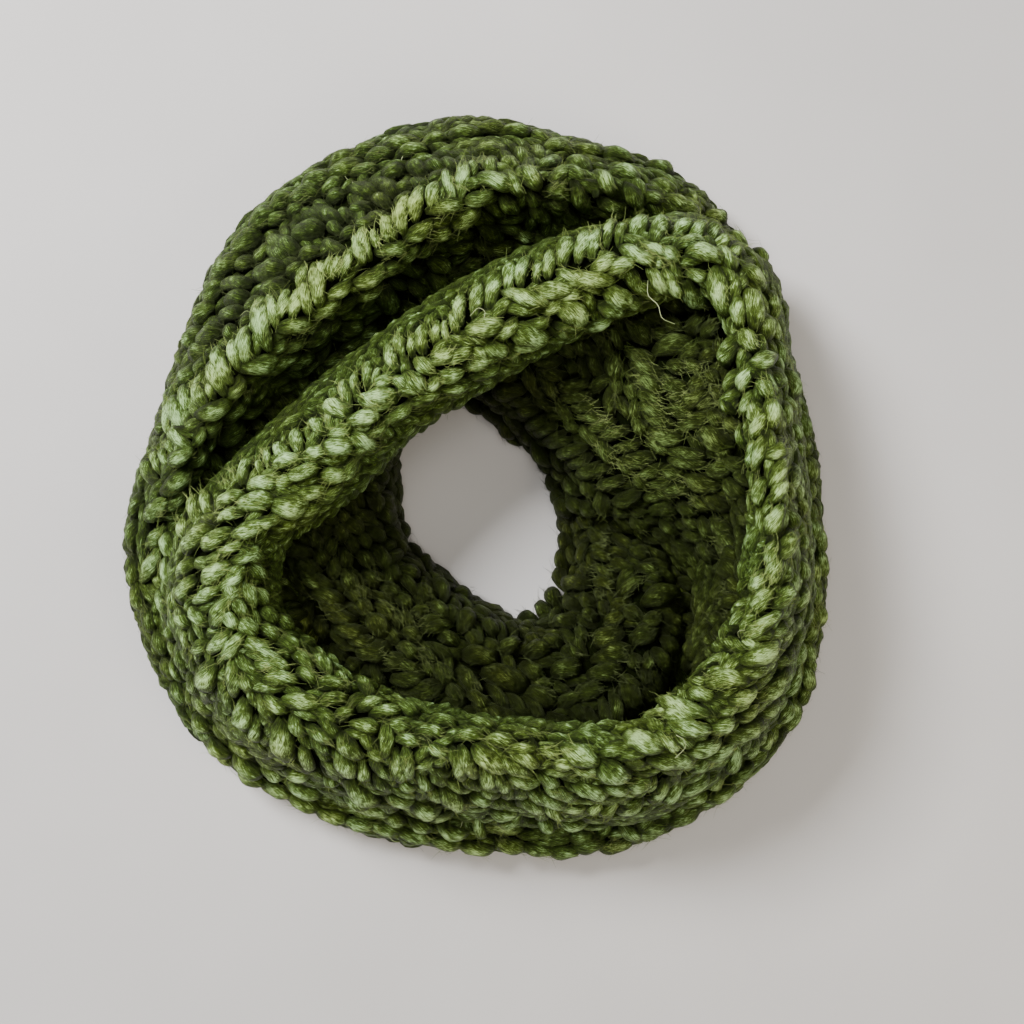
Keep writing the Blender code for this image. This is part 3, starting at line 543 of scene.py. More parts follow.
def curved(values, rows, stations, rails, closed):
    """Vectors given at the rows' points, curved through both ways, at stations along and rails across."""
    across = np.swapaxes(hermite(values, row_knots(rows, closed), stations, closed), 0, 1)
    wanted = np.interp(rails, np.arange(len(across)), row_rails(rows))
    return np.swapaxes(hermite(across, row_rails(rows), wanted, False), 0, 1)


def outward(rows, stations, rails, closed):
    """Unit normals of a stretch, from its slopes along and across, turned to the side that faces up."""
    ends = (-np.inf, np.inf) if closed else (0.0, row_knots(rows, closed)[-1])
    low, high = (np.clip(stations + step, *ends) for step in (-SLOPE_STEP, SLOPE_STEP))
    left, right = (np.clip(rails + step, 0, rows.shape[1] - 1) for step in (-RAIL_STEP, RAIL_STEP))
    along = curved(rows, rows, high, rails, closed) - curved(rows, rows, low, rails, closed)
    across = curved(rows, rows, stations, right, closed) - curved(rows, rows, stations, left, closed)
    normal = np.cross(along, across)
    normal /= np.linalg.norm(normal, axis=2, keepdims=True)
    return normal if normal[..., 2].mean() > 0 else -normal


def eased(grid):
    """Evens a grid out: each point becomes the mean of itself and its two neighbours, EASING times across the
    lines and then EASING times along them, with the edges kept."""
    grid = grid.copy()
    for _ in range(EASING):
        grid[:, 1:-1] = (grid[:, :-2] + grid[:, 1:-1] + grid[:, 2:]) / 3
    for _ in range(EASING):
        grid[1:-1] = (grid[:-2] + grid[1:-1] + grid[2:]) / 3
    return grid


def plan_direction(start, end):
    """Unit vectors in plan from one line of points to another."""
    step = (end - start) * (1, 1, 0)
    return step / np.linalg.norm(step, axis=1, keepdims=True)


def table(sections):
    """The rows of a table as an array: section, line, coordinate."""
    return np.array([section[1:] for section in sections], float)


def upper_rows():
    """The upper loop's lines, with the curl that its inner edge ends in."""
    rows = table(UPPER_LOOP)
    crest, lip = rows[:, 2], rows[:, 3]
    curl = lip + plan_direction(crest, lip) * CURL_REACH - (0, 0, CURL_DEPTH)
    beside_wall = np.array(["right" in section[0] and "band" not in section[0] for section in UPPER_LOOP])
    curl[beside_wall] = lip[beside_wall] - (0, 0, LIP_DEPTH)
    return np.concatenate([rows, curl[:, None]], axis=1)


def lower_rows():
    """The lower loop's lines, from its foot on the floor to the tuck that goes on below the upper loop."""
    rows = table(LOWER_LOOP)
    inwards = plan_direction(rows[:, 0], rows[:, 3])
    foot = (rows[:, 0] + inwards * FOOT_REACH) * (1, 1, 0)
    tuck = rows[:, 3] + inwards * TUCK_REACH - (0, 0, TUCK_DEPTH)
    return np.concatenate([foot[:, None], rows, tuck[:, None]], axis=1)


# A stretch of cloth: its CAD node, its rows of points, where it starts and ends along them, its slot and flat
# size, then its fine grid of points, the normals, the way out from the inner side, and both steps of the grid
Wall = namedtuple("Wall", "node rows start end slot flat grid normal inner stations rails")


def make_wall(node, rows, start, end, closed, shares, slot, flat):
    """A stretch's fine grid of points, its outward normals, and the way from the wall's inner side to each
    point: the normals at the rows times each line's share of the wall, curved through and evened out."""
    stations = np.linspace(start, end, round((end - start) / STATION_STEP) + 1)
    rails = np.linspace(0, rows.shape[1] - 1, (rows.shape[1] - 1) * RAIL_STEPS + 1)
    grid = curved(rows, rows, stations, rails, closed)
    normal = outward(rows, stations, rails, closed)
    knots = row_knots(rows, closed)[:len(rows)]
    depths = outward(rows, knots, np.arange(rows.shape[1], dtype=float), closed)
    depths = depths * (KNIT_WALL * np.array(shares))[None, :, None]
    depths[rows[:, 0, 2] == 0, 0, 2] = 0.0
    inner = eased(curved(depths, rows, stations, rails, closed))
    return Wall(node, rows, start, end, slot, flat, grid, normal, inner, stations, rails)


def loop_walls(rows, sections, stretches, shares, slot):
    """The walls of a closed loop, parted at named rows."""
    knots = row_knots(rows, True)
    places = [section[0] for section in sections]
    walls = []
    for node, first, last, flat in stretches:
        start = knots[places.index(first)] + SEAM_GAP / 2
        end = knots[places.index(last)] - SEAM_GAP / 2
        if end < start:
            end += knots[-1]
        walls.append(make_wall(node, rows, start, end, True, shares, slot, flat))
    return walls


def open_wall(node, sections, shares, flat):
    """The wall of a stretch in the well, which ends where its first and last rows are."""
    rows = table(sections)
    return make_wall(node, rows, 0.0, row_knots(rows, False)[-1], False, shares, "well_yarn", flat)


def all_walls():
    """Every stretch of the scarf, in the CAD's places: its name, the rows it lies between, its flat width and
    length in metres, and each line's share of the knit's wall."""
    upper = loop_walls(upper_rows(), UPPER_LOOP, (
        ("crossing_band", "corner top", "left", (0.09, 0.235)),
        ("left_rim", "left", "bottom left", (0.115, 0.12)),
        ("bottom_rim", "bottom left", "lower right", (0.11, 0.17)),
        ("right_rim", "lower right", "corner top", (0.095, 0.205)),
    ), (0.85, 1.0, 1.2, 0.9, 0.7), "rim_yarn")
    lower = loop_walls(lower_rows(), LOWER_LOOP, (
        ("lower_loop_top", "top right", "upper left low", (0.145, 0.24)),
        ("lower_loop_left", "upper left low", "bottom left", (0.09, 0.245)),
        ("lower_loop_bottom", "bottom left", "right low", (0.065, 0.265)),
        ("lower_loop_right", "right low", "top right", (0.065, 0.22)),
    ), (1, 1, 1, 1, 1, 0.85), "side_yarn")
    ring = open_wall("inner_ring", INNER_RING, (1, 1, 1, 1, 0.85), (0.085, 0.25))
    wall = open_wall("inner_wall", INNER_WALL, (1, 1, 1, 1, 1, 0.85), (0.08, 0.225))
    return [*upper, *lower, ring, wall]


def grid_quads(stations, steps):
    """Corner numbers of a grid's quads, one row for each."""
    number = np.arange(stations * steps).reshape(stations, steps)
    corners = number[:-1, :-1], number[1:, :-1], number[1:, 1:], number[:-1, 1:]
    return np.stack(corners, axis=-1).reshape(-1, 4)


def joined_tree(numbered):
    """The outer forms of some walls as one tree for rays, with the wall's number for each of its faces."""
    points, faces, owners = [], [], []
    for number, wall in numbered:
        faces.append(grid_quads(*wall.grid.shape[:2]) + sum(len(part) for part in points))
        points.append(wall.grid.reshape(-1, 3))
        owners += [number] * len(faces[-1])
    return BVHTree.FromPolygons(np.concatenate(points).tolist(), np.concatenate(faces).tolist()), owners


def folded_points():
    """The points of the folded layers' CAD form, in millimetres."""
    mesh = bpy.data.objects["folded_layers"].data
    points = np.empty(len(mesh.vertices) * 3, np.float32)
    mesh.vertices.foreach_get("co", points)
    return points.reshape(-1, 3).astype(float) / MILLIMETRE


def joined_forest(walls):
    """The outer forms of all walls and the folded layers' own form as one tree for rays."""
    points, faces = [], []
    for wall in walls:
        faces += (grid_quads(*wall.grid.shape[:2]) + sum(len(part) for part in points)).tolist()
        points.append(wall.grid.reshape(-1, 3))
    first = sum(len(part) for part in points)
    core = bpy.data.objects["folded_layers"].data
    faces += [[corner + first for corner in polygon.vertices] for polygon in core.polygons]
    points.append(folded_points())
    return BVHTree.FromPolygons(np.concatenate(points).tolist(), faces)


def placed(name, mesh, material):
    """A named object of a mesh in one material, linked into the scene."""
    mesh.materials.append(material)
    piece = bpy.data.objects.new(name, mesh)
    bpy.context.scene.collection.objects.link(piece)
    return piece


def add_piece(name, points, quads, material, uv=None, shade=None):
    """One named object from arrays: points in millimetres, quads, and each point's UV in millimetres and
    shade."""
    mesh = bpy.data.meshes.new(name)
    mesh.vertices.add(len(points))
    mesh.vertices.foreach_set("co", (np.asarray(points) * MILLIMETRE).astype(np.float32).ravel())
    mesh.loops.add(len(quads) * 4)
    mesh.loops.foreach_set("vertex_index", quads.astype(np.int32).ravel())
    mesh.polygons.add(len(quads))
    mesh.polygons.foreach_set("loop_start", np.arange(0, len(quads) * 4, 4, dtype=np.int32))
    mesh.polygons.foreach_set("use_smooth", np.ones(len(quads), dtype=bool))
    if uv is not None:
        layer = mesh.uv_layers.new(name="fibre")
        layer.data.foreach_set("uv", uv[quads.ravel()].astype(np.float32).ravel())
    if shade is not None:
        attribute = mesh.attributes.new("shade", "FLOAT_COLOR", "POINT")
        colour = np.ones((len(points), 4), np.float32)
        colour[:, :3] = shade
        attribute.data.foreach_set("color", colour.ravel())
    mesh.update(calc_edges=True)
    mesh.validate()
    piece = placed(name, mesh, material)
    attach(piece, "root")
    return piece


def closed_shell(outer, inner):
    """Points and quads of the thin solid between two grids of one size, faces outwards."""
    stations, steps = outer.shape[:2]
    points = np.concatenate([outer.reshape(-1, 3), inner.reshape(-1, 3)])
    number = np.arange(stations * steps).reshape(stations, steps)
    below = number + stations * steps
    sides = [
        (number[:-1, :-1], number[1:, :-1], number[1:, 1:], number[:-1, 1:]),
        (below[:-1, :-1], below[:-1, 1:], below[1:, 1:], below[1:, :-1]),
        (number[:-1, 0], below[:-1, 0], below[1:, 0], number[1:, 0]),
        (number[:-1, -1], number[1:, -1], below[1:, -1], below[:-1, -1]),
        (number[0, :-1], number[0, 1:], below[0, 1:], below[0, :-1]),
        (number[-1, :-1], below[-1, :-1], below[-1, 1:], number[-1, 1:]),
    ]
    quads = np.concatenate([np.stack(side, axis=-1).reshape(-1, 4) for side in sides])
    step = np.cross(outer[1, 0] - outer[0, 0], outer[0, 1] - outer[0, 0])
    if np.dot(step, outer[0, 0] - inner[0, 0]) < 0:
        quads = quads[:, ::-1]
    return points, quads


def across_distance(wall):
    """Millimetres across the stretch at each of its rails, as the rows' mean."""
    return np.interp(wall.rails, np.arange(wall.rows.shape[1]), row_rails(wall.rows))


def shell(wall, material):
    """The cloth of one stretch as a closed solid. Its inner side is the CAD's. Its outer side is the CAD's
    sunk by SHELL_TOP of the wall and SHELL_SINK, with rounded bumps: a sine along times a sine across, each
    bent by the other."""
    distance = across_distance(wall)[None, :]
    along = wall.stations[:, None] / STITCH_PITCH * math.pi
    across = distance / BUMP_WIDTH * math.pi
    bumps = np.sin(along + 0.8 * np.sin(across * 0.5)) * np.sin(across + 0.5 * np.sin(along))
    outer = wall.grid - wall.inner * SHELL_TOP + wall.normal * (SHELL_BUMP * bumps - SHELL_SINK)[..., None]
    inner = wall.grid - wall.inner
    for side in (outer, inner):
        side[..., 2] = np.maximum(side[..., 2], 0.0)
    points, quads = closed_shell(outer, inner)
    # Painted shade: the shell under the plies is painted dark, a little paler on its bumps and darkest on its
    # inner side.
    bump_shade = 0.08 + 0.08 * bumps
    plain = np.full_like(bump_shade, 0.3)
    shade = np.stack([bump_shade + 0.1, plain, plain], axis=-1).reshape(-1, 3)
    shade = np.concatenate([shade, np.full_like(shade, 0.1)])
    uv = np.stack(np.broadcast_arrays(wall.stations[:, None], distance), axis=-1).reshape(-1, 2)
    uv = np.concatenate([uv, uv])
    piece = add_piece(wall.node + "_cloth", points, quads, material, uv, shade)
    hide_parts(wall.node)
    return piece


def eye_ray(u, v):
    """Direction from the camera through a pixel of the photograph."""
    x = EYE[0] + (u - PICTURE / 2) * FLOOR_PIXEL
    y = EYE[1] + (PICTURE / 2 - v) * FLOOR_PIXEL
    return (Vector((x, y, 0.0)) - Vector(EYE)).normalized()


# A ply: its tips and middle on the cloth, the cloth's normal there, its width, its height over the cloth, the
# number of its stretch,
# and its painted light: the light and shade painted into its colour
Strand = namedtuple("Strand", "start middle end normal width height owner light")


def nearest_on_ray(eye, ray, tree):
    """The point of a ray that comes closest to a tree's form, with that form's normal and the distance."""
    best = (None, None, 1e9)
    for height in range(4, 112, 4):
        point = eye + ray * ((height - eye.z) / ray.z)
        found = tree.find_nearest(point)
        if found[0] is not None and found[3] < best[2]:
            best = (point, found[1], found[3])
    return best


def seen_strands(walls, forest):
    """The photograph's plies on their cloth. A ray through each one's middle finds the cloth, and its tips
    lie on that cloth too or, where they reach past its edge, on a plane through the middle that leans to the
    eye. Its width is the picture's at that height, but no more than SLIMNESS of its length."""
    eye = Vector(EYE)
    numbers = {wall.node: number for number, wall in enumerate(walls)}
    strands = []
    for nodes, group_light, text in STRANDS:
        tree, owners = joined_tree([(numbers[name], walls[numbers[name]]) for name in nodes.split()])
        for u0, v0, u1, v1, width in np.array(text.split(), float).reshape(-1, 5):
            ray = eye_ray((u0 + u1) / 2, (v0 + v1) / 2)
            centre, facing, face, _ = tree.ray_cast(eye, ray)
            if centre is None:
                centre, facing, distance = nearest_on_ray(eye, ray, tree)
                if distance > PAST_EDGE:
                    continue
                face = tree.find_nearest(centre)[2]
            back = (eye - centre).normalized()
            if facing.dot(back) < 0:
                facing = -facing
            plane = (facing * 0.5 + back).normalized()
            scale = (EYE[2] - centre.z) / EYE[2] * FLOOR_PIXEL
            reach = math.hypot(u1 - u0, v1 - v0) / 2 * scale
            tips = []
            for u, v in ((u0, v0), (u1, v1)):
                way = eye_ray(u, v)
                tip = tree.ray_cast(eye, way)[0]
                if tip is None or (tip - centre).length > 1.5 * reach + 2.5:
                    tip = eye + way * ((centre - eye).dot(plane) / way.dot(plane))
                tips.append(np.array(tip))
            normal = np.array((facing + back * 0.5).normalized())
            middle = np.array(centre)
            if walls[owners[face]].slot == "well_yarn":
                scale *= WELL_FULLNESS
            width = min(width * scale, SLIMNESS * (2 * reach + 2 * TIP_REACH))
            proud = min(max((math.hypot(u1 - u0, v1 - v0) - PROUD_LENGTH) / PROUD_SPAN, -1.0), 1.0)
            # Painted shade: a ply's light is its openness, at least SEEN_LIGHT, times its group's light, and
            # brighter for long proud plies.
            lit = max(openness(middle + normal * READ_HEIGHT, normal, forest), SEEN_LIGHT)
            strands.append(Strand(tips[0], middle, tips[1], normal, width, SEEN_HEIGHT + PROUD * proud,
                                  owners[face], group_light * lit * (1 + PROUD_LIGHT * proud)))
    return strands


def read_grid(grid, place, rail):
    """Bilinear values of a grid at fractional places along and across."""
    i = np.clip(place.astype(int), 0, grid.shape[0] - 2)
    j = np.clip(rail.astype(int), 0, grid.shape[1] - 2)
    a, b = (place - i)[:, None], (rail - j)[:, None]
    return ((grid[i, j] * (1 - b) + grid[i, j + 1] * b) * (1 - a)
            + (grid[i + 1, j] * (1 - b) + grid[i + 1, j + 1] * b) * a)


def filling_strands(number, wall, rng):
    """Plies in the rib pattern all over one stretch, in columns of two legs that lean to each other and a
    furrow. Each ply's tips are its half length from its middle along the column's lean, with a little
    jitter."""
    width = across_distance(wall)
    length = wall.end - wall.start
    rows = []
    for column in np.arange(3.0, width[-1] + 8, COLUMN_WIDTH):
        for offset, lean, reach, size, pitch in RIB_COLUMNS:
            middle = column + offset
            if not 1.0 < middle < width[-1] - 1.0:
                continue
            places = np.arange(3.0, length - 2.0, pitch)
            count = len(places)
            jitter = rng.uniform(-1, 1, (count, 5))
            angle = lean + 0.25 * jitter[:, 0]
            half = reach * (1 + 0.15 * jitter[:, 1])
            at = places + 1.5 * jitter[:, 2]
            over = middle + 1.2 * jitter[:, 3]
            for sign in (-1.0, 0.0, 1.0):
                ahead = at + sign * half * np.cos(angle)
                across = over + sign * half * np.sin(angle)
                rows.append(np.stack([ahead, across, size * (1 + 0.15 * jitter[:, 4])], axis=1))
    tips = np.array([np.concatenate(rows[k::3]) for k in range(3)])
    strands = []
    places = np.clip(tips[..., 0], 0.5, length - 0.5) / length * (len(wall.stations) - 1)
    rails = np.interp(tips[..., 1], width, np.arange(len(width)))
    ends = [read_grid(wall.grid, places[k], rails[k]) for k in range(3)]
    normals = read_grid(wall.normal, places[1], rails[1])
    for *line, normal, size, rail in zip(*ends, normals, tips[1, :, 2], rails[1]):
        strands.append(Strand(*line, normal, size, ROW_HEIGHT, number, slope_light(wall, rail)))
    return strands


def openness(point, normal, forest):
    """The share of the ways out of a point that end in the open. The ways are spread evenly about its
    normal, each turned on by GOLDEN_ANGLE from the one before."""
    side = np.cross(normal, (0.3, 0.5, 0.8))
    side /= np.linalg.norm(side)
    other = np.cross(normal, side)
    free = 0
    for number in range(LIGHT_WAYS):
        turn = number * GOLDEN_ANGLE
        spread = math.sqrt((number + 0.5) / LIGHT_WAYS)
        way = np.array(normal) * math.sqrt(1 - spread**2)
        way = way + spread * (side * math.cos(turn) + other * math.sin(turn))
        if way[2] > -0.1:
            free += forest.ray_cast(Vector(point), Vector(way), LIGHT_REACH)[0] is None
    return free / LIGHT_WAYS


def ply_lines(strands):
    """The tips and middles of plies as three arrays."""
    return [np.array([getattr(strand, part) for strand in strands]) for part in ("start", "middle", "end")]


def line_distance(points, starts, ends):
    """Distance of each point, one row for each, from each straight line between two points."""
    spans = ends - starts
    offset = points[:, None] - starts
    share = np.clip((offset * spans).sum(axis=2) / np.maximum((spans**2).sum(axis=1), 1e-9), 0, 1)
    return np.linalg.norm(offset - spans * share[..., None], axis=2)


def uncovered(strands, seen, forest):
    """The filling plies that light reaches and none of the photograph's lies over, lower where one lies
    beside."""
    starts, middles, ends = ply_lines(seen)
    kept = []
    for strand in strands:
        parts = np.stack([strand.start, strand.middle, strand.end])
        apart = np.minimum(line_distance(parts, starts, middles), line_distance(parts, middles, ends))
        gaps = apart.min(axis=1)
        if gaps[1] < COVERED_WITHIN or strand.middle[2] < 1.5:
            continue
        light = openness(strand.middle + strand.normal * READ_HEIGHT, strand.normal, forest)
        if light > 0:
            sunk = CLOSE_SINK if gaps.min() < CLOSE_BESIDE else 0.0
            # Painted shade: a filling ply's light is its openness times ROW_LIGHT and its slope's painted
            # shade.
            kept.append(strand._replace(light=light * ROW_LIGHT * strand.light, height=strand.height - sunk))
    return kept


def slope_light(wall, rail):
    """How much of a filling ply's light is left on the upper loop's outer slope: SLOPE_SHADE of it at the
    foot of the band, which drops into the recess, SIDE_SLOPE_SHADE at the foot of the other stretches, and
    evenly more up to all of it just inside the crest's outer line."""
    # Painted shade: plies low on the upper loop's outer slope are painted darker.
    if wall.slot != "rim_yarn":
        return 1.0
    least = SLOPE_SHADE if wall.node == "crossing_band" else SIDE_SLOPE_SHADE
    return least + (1 - least) * min(max(float(wall.rails[int(rail)]) - 0.2, 0.0), 1.0)


def gap_strands(number, wall, seen, rng):
    """Short plies in the gaps that the photograph's plies leave. Points are spread over the stretch and
    taken with the widest gap first, GAP_SPACING apart. Each gets a sunk ply, roughly along the nearest one's
    direction."""
    starts, middles, ends = ply_lines(seen)
    halves = np.array([s.width for s in seen]) / 2
    width = across_distance(wall)[-1]
    count = int((wall.end - wall.start) * width / GAP_CELL)
    places = rng.uniform(0, 1, (count, 2)) * (len(wall.stations) - 1, len(wall.rails) - 1)
    points = read_grid(wall.grid, places[:, 0], places[:, 1])
    nearest = np.empty(count, int)
    gaps = np.empty(count)
    for first in range(0, count, 400):
        part = points[first:first + 400]
        apart = np.minimum(line_distance(part, starts, middles), line_distance(part, middles, ends)) - halves
        nearest[first:first + 400] = apart.argmin(axis=1)
        gaps[first:first + 400] = apart.min(axis=1)
    order = np.argsort(-gaps)
    order = order[(gaps[order] > GAP_LEAST) & (gaps[order] < GAP_REACH) & (points[order, 2] > 2.0)]
    taken = np.empty((0, 3))
    strands = []
    for index in order:
        point = points[index]
        if len(taken) and np.linalg.norm(taken - point, axis=1).min() < GAP_SPACING:
            continue
        taken = np.concatenate([taken, point[None]])
        normal = read_grid(wall.normal, places[index:index + 1, 0], places[index:index + 1, 1])[0]
        normal = normal / np.linalg.norm(normal)
        beside = seen[nearest[index]]
        way = (beside.end - beside.start) / np.linalg.norm(beside.end - beside.start)
        way = way + np.cross(normal, way) * rng.uniform(-0.7, 0.7)
        way = way - normal * np.dot(way, normal)
        way /= np.linalg.norm(way)
        wide = min(max(gaps[index], 0.0), WIDE_GAP) / WIDE_GAP
        reach = 5.6 + 2.0 * wide
        # Painted shade: a gap ply takes its neighbour's painted light, darker on the outer slope and the
        # narrower its gap.
        shade = slope_light(wall, places[index, 1])
        strands.append(Strand(point - way * reach, point, point + way * reach, normal, 4.6 + 1.4 * wide,
                              GAP_HEIGHT + 1.1 * wide, number, beside.light * shade * (0.45 + 0.2 * wide)))
    return strands


def core_strands(forest, rng):
    """Plies on the folded layers wherever light reaches them. Points are spread over the CAD form's faces by
    area and thinned to one in each small cube, each with a ply that lies in the face at a slowly turning
    angle."""
    mesh = bpy.data.objects["folded_layers"].data
    mesh.calc_loop_triangles()
    points = folded_points()
    corners = np.empty(len(mesh.loop_triangles) * 3, np.int32)
    mesh.loop_triangles.foreach_get("vertices", corners)
    a, b, c = (points[corners.reshape(-1, 3)[:, k]] for k in range(3))
    normal = np.cross(b - a, c - a)
    area = np.linalg.norm(normal, axis=1) / 2
    normal /= np.maximum(2 * area, 1e-9)[:, None]
    pick = np.repeat(np.arange(len(area)), np.ceil(area / CORE_CELL**2 * 2).astype(int))
    draw = rng.uniform(0, 1, (len(pick), 3))
    flip = draw[:, 0] + draw[:, 1] > 1
    draw[flip, :2] = 1 - draw[flip, :2]
    place = a[pick] + (b - a)[pick] * draw[:, :1] + (c - a)[pick] * draw[:, 1:2]
    _, first = np.unique(np.floor(place / CORE_CELL).astype(int), axis=0, return_index=True)
    strands = []
    for place, normal in zip(place[first], normal[pick][first]):
        if place[2] < 3.0:
            continue
        light = openness(place + normal * 1.5, normal, forest)
        if light < DARKEST_OPENNESS:
            continue
        turn = 0.6 + 0.5 * math.sin(place[0] / 9.0) + 0.5 * math.cos(place[1] / 7.0)
        side = np.cross(normal, (0.2, 0.1, 1.0))
        side /= np.linalg.norm(side)
        way = side * math.cos(turn) + np.cross(normal, side) * math.sin(turn)
        # Painted shade: a folded layer's ply is painted darker the less open it is.
        strands.append(Strand(place - way * CORE_HALF, place, place + way * CORE_HALF, normal, CORE_WIDTH,
                              0.0, NO_WALL, 0.25 + 0.6 * light))
    return strands


def ply_mesh(strands, rings, sides, rng):
    """Plies of twisted yarn. Each has a section of two soft lobes that turns along the ply and swells from
    tip to tip as a root of a sine. It follows a parabola through the tips and the middle that dips into the
    cloth by the cube of the distance from the middle. Returns points, quads, UV and shade."""
    start, middle, end = ply_lines(strands)
    normal = np.array([s.normal for s in strands])
    width = np.array([s.width for s in strands])
    height = np.array([s.height for s in strands])
    count = len(strands)
    jitter = rng.uniform(-1, 1, (count, 6))
    chord = end - start
    length = np.linalg.norm(chord, axis=1)
    along = chord / np.maximum(length, 1e-6)[:, None]
    start = start - along * TIP_REACH
    end = end + along * TIP_REACH
    side = np.cross(normal, along)
    side /= np.linalg.norm(side, axis=1, keepdims=True)
    middle = middle + side * (0.09 * length * jitter[:, 1])[:, None]
    control = 2 * middle - (start + end) / 2
    even = np.linspace(0, 1, rings)
    t = 0.5 - 0.5 * np.sin(math.pi * (0.5 - even))[None, :, None]
    t = 0.5 * t + 0.5 * even[None, :, None]
    path = (1 - t)**2 * start[:, None] + 2 * t * (1 - t) * control[:, None] + t**2 * end[:, None]
    tangent = 2 * (1 - t) * (control - start)[:, None] + 2 * t * (end - control)[:, None]
    tangent /= np.linalg.norm(tangent, axis=2, keepdims=True)
    lift = (height + 0.5 * jitter[:, 0])[:, None, None] - TIP_DIP * np.abs(2 * t - 1) ** 3
    path = path + normal[:, None] * lift
    wide = np.cross(normal[:, None], tangent)
    wide /= np.linalg.norm(wide, axis=2, keepdims=True)
    high = np.cross(tangent, wide)
    skew = np.clip(t[..., 0] + 0.06 * jitter[:, 2:3] * np.sin(math.pi * t[..., 0]), 0, 1)
    swell = np.sin(math.pi * (0.015 + 0.97 * skew)) ** 0.42
    swell = swell * (1 + 0.07 * np.sin(9 * t[..., 0] + 6 * jitter[:, 3:4]))
    turn = np.linspace(0, 2 * math.pi, sides, endpoint=False)[None, None, :]
    distance = t[..., 0] * length[:, None]
    twist = PLY_TWIST * distance[..., None] + 5 * jitter[:, 4][:, None, None]
    groove = 0.5 - 0.5 * np.cos(2 * (turn - twist))
    lobes = 1.02 - 0.09 * groove**2
    half = (PLY_FULLNESS * width / 2)[:, None, None] * swell[..., None] * lobes
    points = (path[:, :, None] + wide[:, :, None] * (half * np.cos(turn))[..., None]
              + high[:, :, None] * (PLY_FLATTENING * half * np.sin(turn))[..., None])
    points[..., 2] = np.maximum(points[..., 2], FLOOR_CLEARANCE)
    number = np.arange(count * rings * sides).reshape(count, rings, sides)
    after = np.roll(number, -1, axis=2)
    quads = np.stack([number[:, :-1], after[:, :-1], after[:, 1:], number[:, 1:]], axis=-1).reshape(-1, 4)
    around = turn / (2 * math.pi) * width[:, None, None] * 3.0
    shift = (jitter[:, 5] * 400)[:, None, None]
    lengthwise = distance[..., None] + shift
    uv = np.stack(np.broadcast_arrays(lengthwise, around - 0.4 * distance[..., None] + shift), axis=-1)
    # Painted light: each ply is painted paler on its crown and darker at its sides, tips and twist grooves, as
    # light falls on a round ply. The tint is a random tone, and the light is the ply's painted shade.
    crown_painted_light = (0.15 + 0.85 * np.clip(np.sin(turn), 0, 1)) * np.sin(math.pi * t[..., 0])[..., None] ** 0.6
    crown_painted_light = crown_painted_light * (1 - 0.3 * groove**2)
    tint = (0.5 + 0.5 * jitter[:, 0])[:, None, None]
    light = np.array([s.light for s in strands])[:, None, None]
    shade = np.stack(np.broadcast_arrays(crown_painted_light, tint, light), axis=-1)
    return points.reshape(-1, 3), quads, uv.reshape(-1, 2), shade.reshape(-1, 3)


def add_plies(name, strands, fineness, material, rng):
    """One named object of plies, each with the given number of rings and sides."""
    points, quads, uv, shade = ply_mesh(strands, *fineness, rng)
    return add_piece(name, points, quads, material, uv, shade)


def fibre_mesh(strands, rng):
    """Stray fibres that lie on the plies and stand off them: flat tapering hairs along a bent line of three
    points, the bend growing with the square of the distance from the root."""
    count = len(strands) * FIBRES_A_PLY
    pick = np.repeat(np.arange(len(strands)), FIBRES_A_PLY)
    start, middle, end = (part[pick] for part in ply_lines(strands))
    normal = np.array([s.normal for s in strands])[pick]
    width = np.array([s.width for s in strands])[pick]
    height = np.array([s.height for s in strands])[pick]
    along = end - start
    length = np.linalg.norm(along, axis=1, keepdims=True)
    along = along / np.maximum(length, 1e-6)
    side = np.cross(normal, along)
    draw = rng.uniform(-1, 1, (count, 8))
    root = (middle + along * (FIBRE_SPREAD * draw[:, :1] * length)
            + side * (FIBRE_SPREAD * draw[:, 1:2] * width[:, None])
            + normal * (height + FIBRE_SPREAD * width * np.sqrt(1 - draw[:, 1]**2))[:, None])
    way = along * np.sign(draw[:, 2:3]) + 0.8 * side * draw[:, 3:4]
    way = way + normal * (0.05 + 0.28 * np.abs(draw[:, 4:5]))
    way /= np.linalg.norm(way, axis=1, keepdims=True)
    bend = side * draw[:, 5:6] * 0.9 + normal * (draw[:, 6:7] * 0.5 - 0.25)
    reach = 2.0 + 5.0 * draw[:, 7:8] ** 2
    t = np.linspace(0, 1, 3)[None, :, None]
    path = root[:, None] + way[:, None] * reach[:, None] * t + bend[:, None] * reach[:, None] * 0.5 * t**2
    flat = np.cross(way, normal)
    flat /= np.linalg.norm(flat, axis=1, keepdims=True)
    half = flat[:, None] * FIBRE_HALF_WIDTH * (1 - 0.6 * t)
    points = np.stack([path - half, path + half], axis=2)
    points[..., 2] = np.maximum(points[..., 2], FLOOR_CLEARANCE)
    number = np.arange(count * 6).reshape(count, 3, 2)
    corners = number[:, :-1, 0], number[:, 1:, 0], number[:, 1:, 1], number[:, :-1, 1]
    quads = np.stack(corners, axis=-1)
    # Painted shade: each hair is painted as dim as its ply's painted light.
    light = np.clip(np.array([s.light for s in strands])[pick], 0.1, 1.0) ** 1.5
    shade = np.repeat(light, 6)[:, None] * (1, 1, 1)
    return points.reshape(-1, 3), quads.reshape(-1, 4), shade


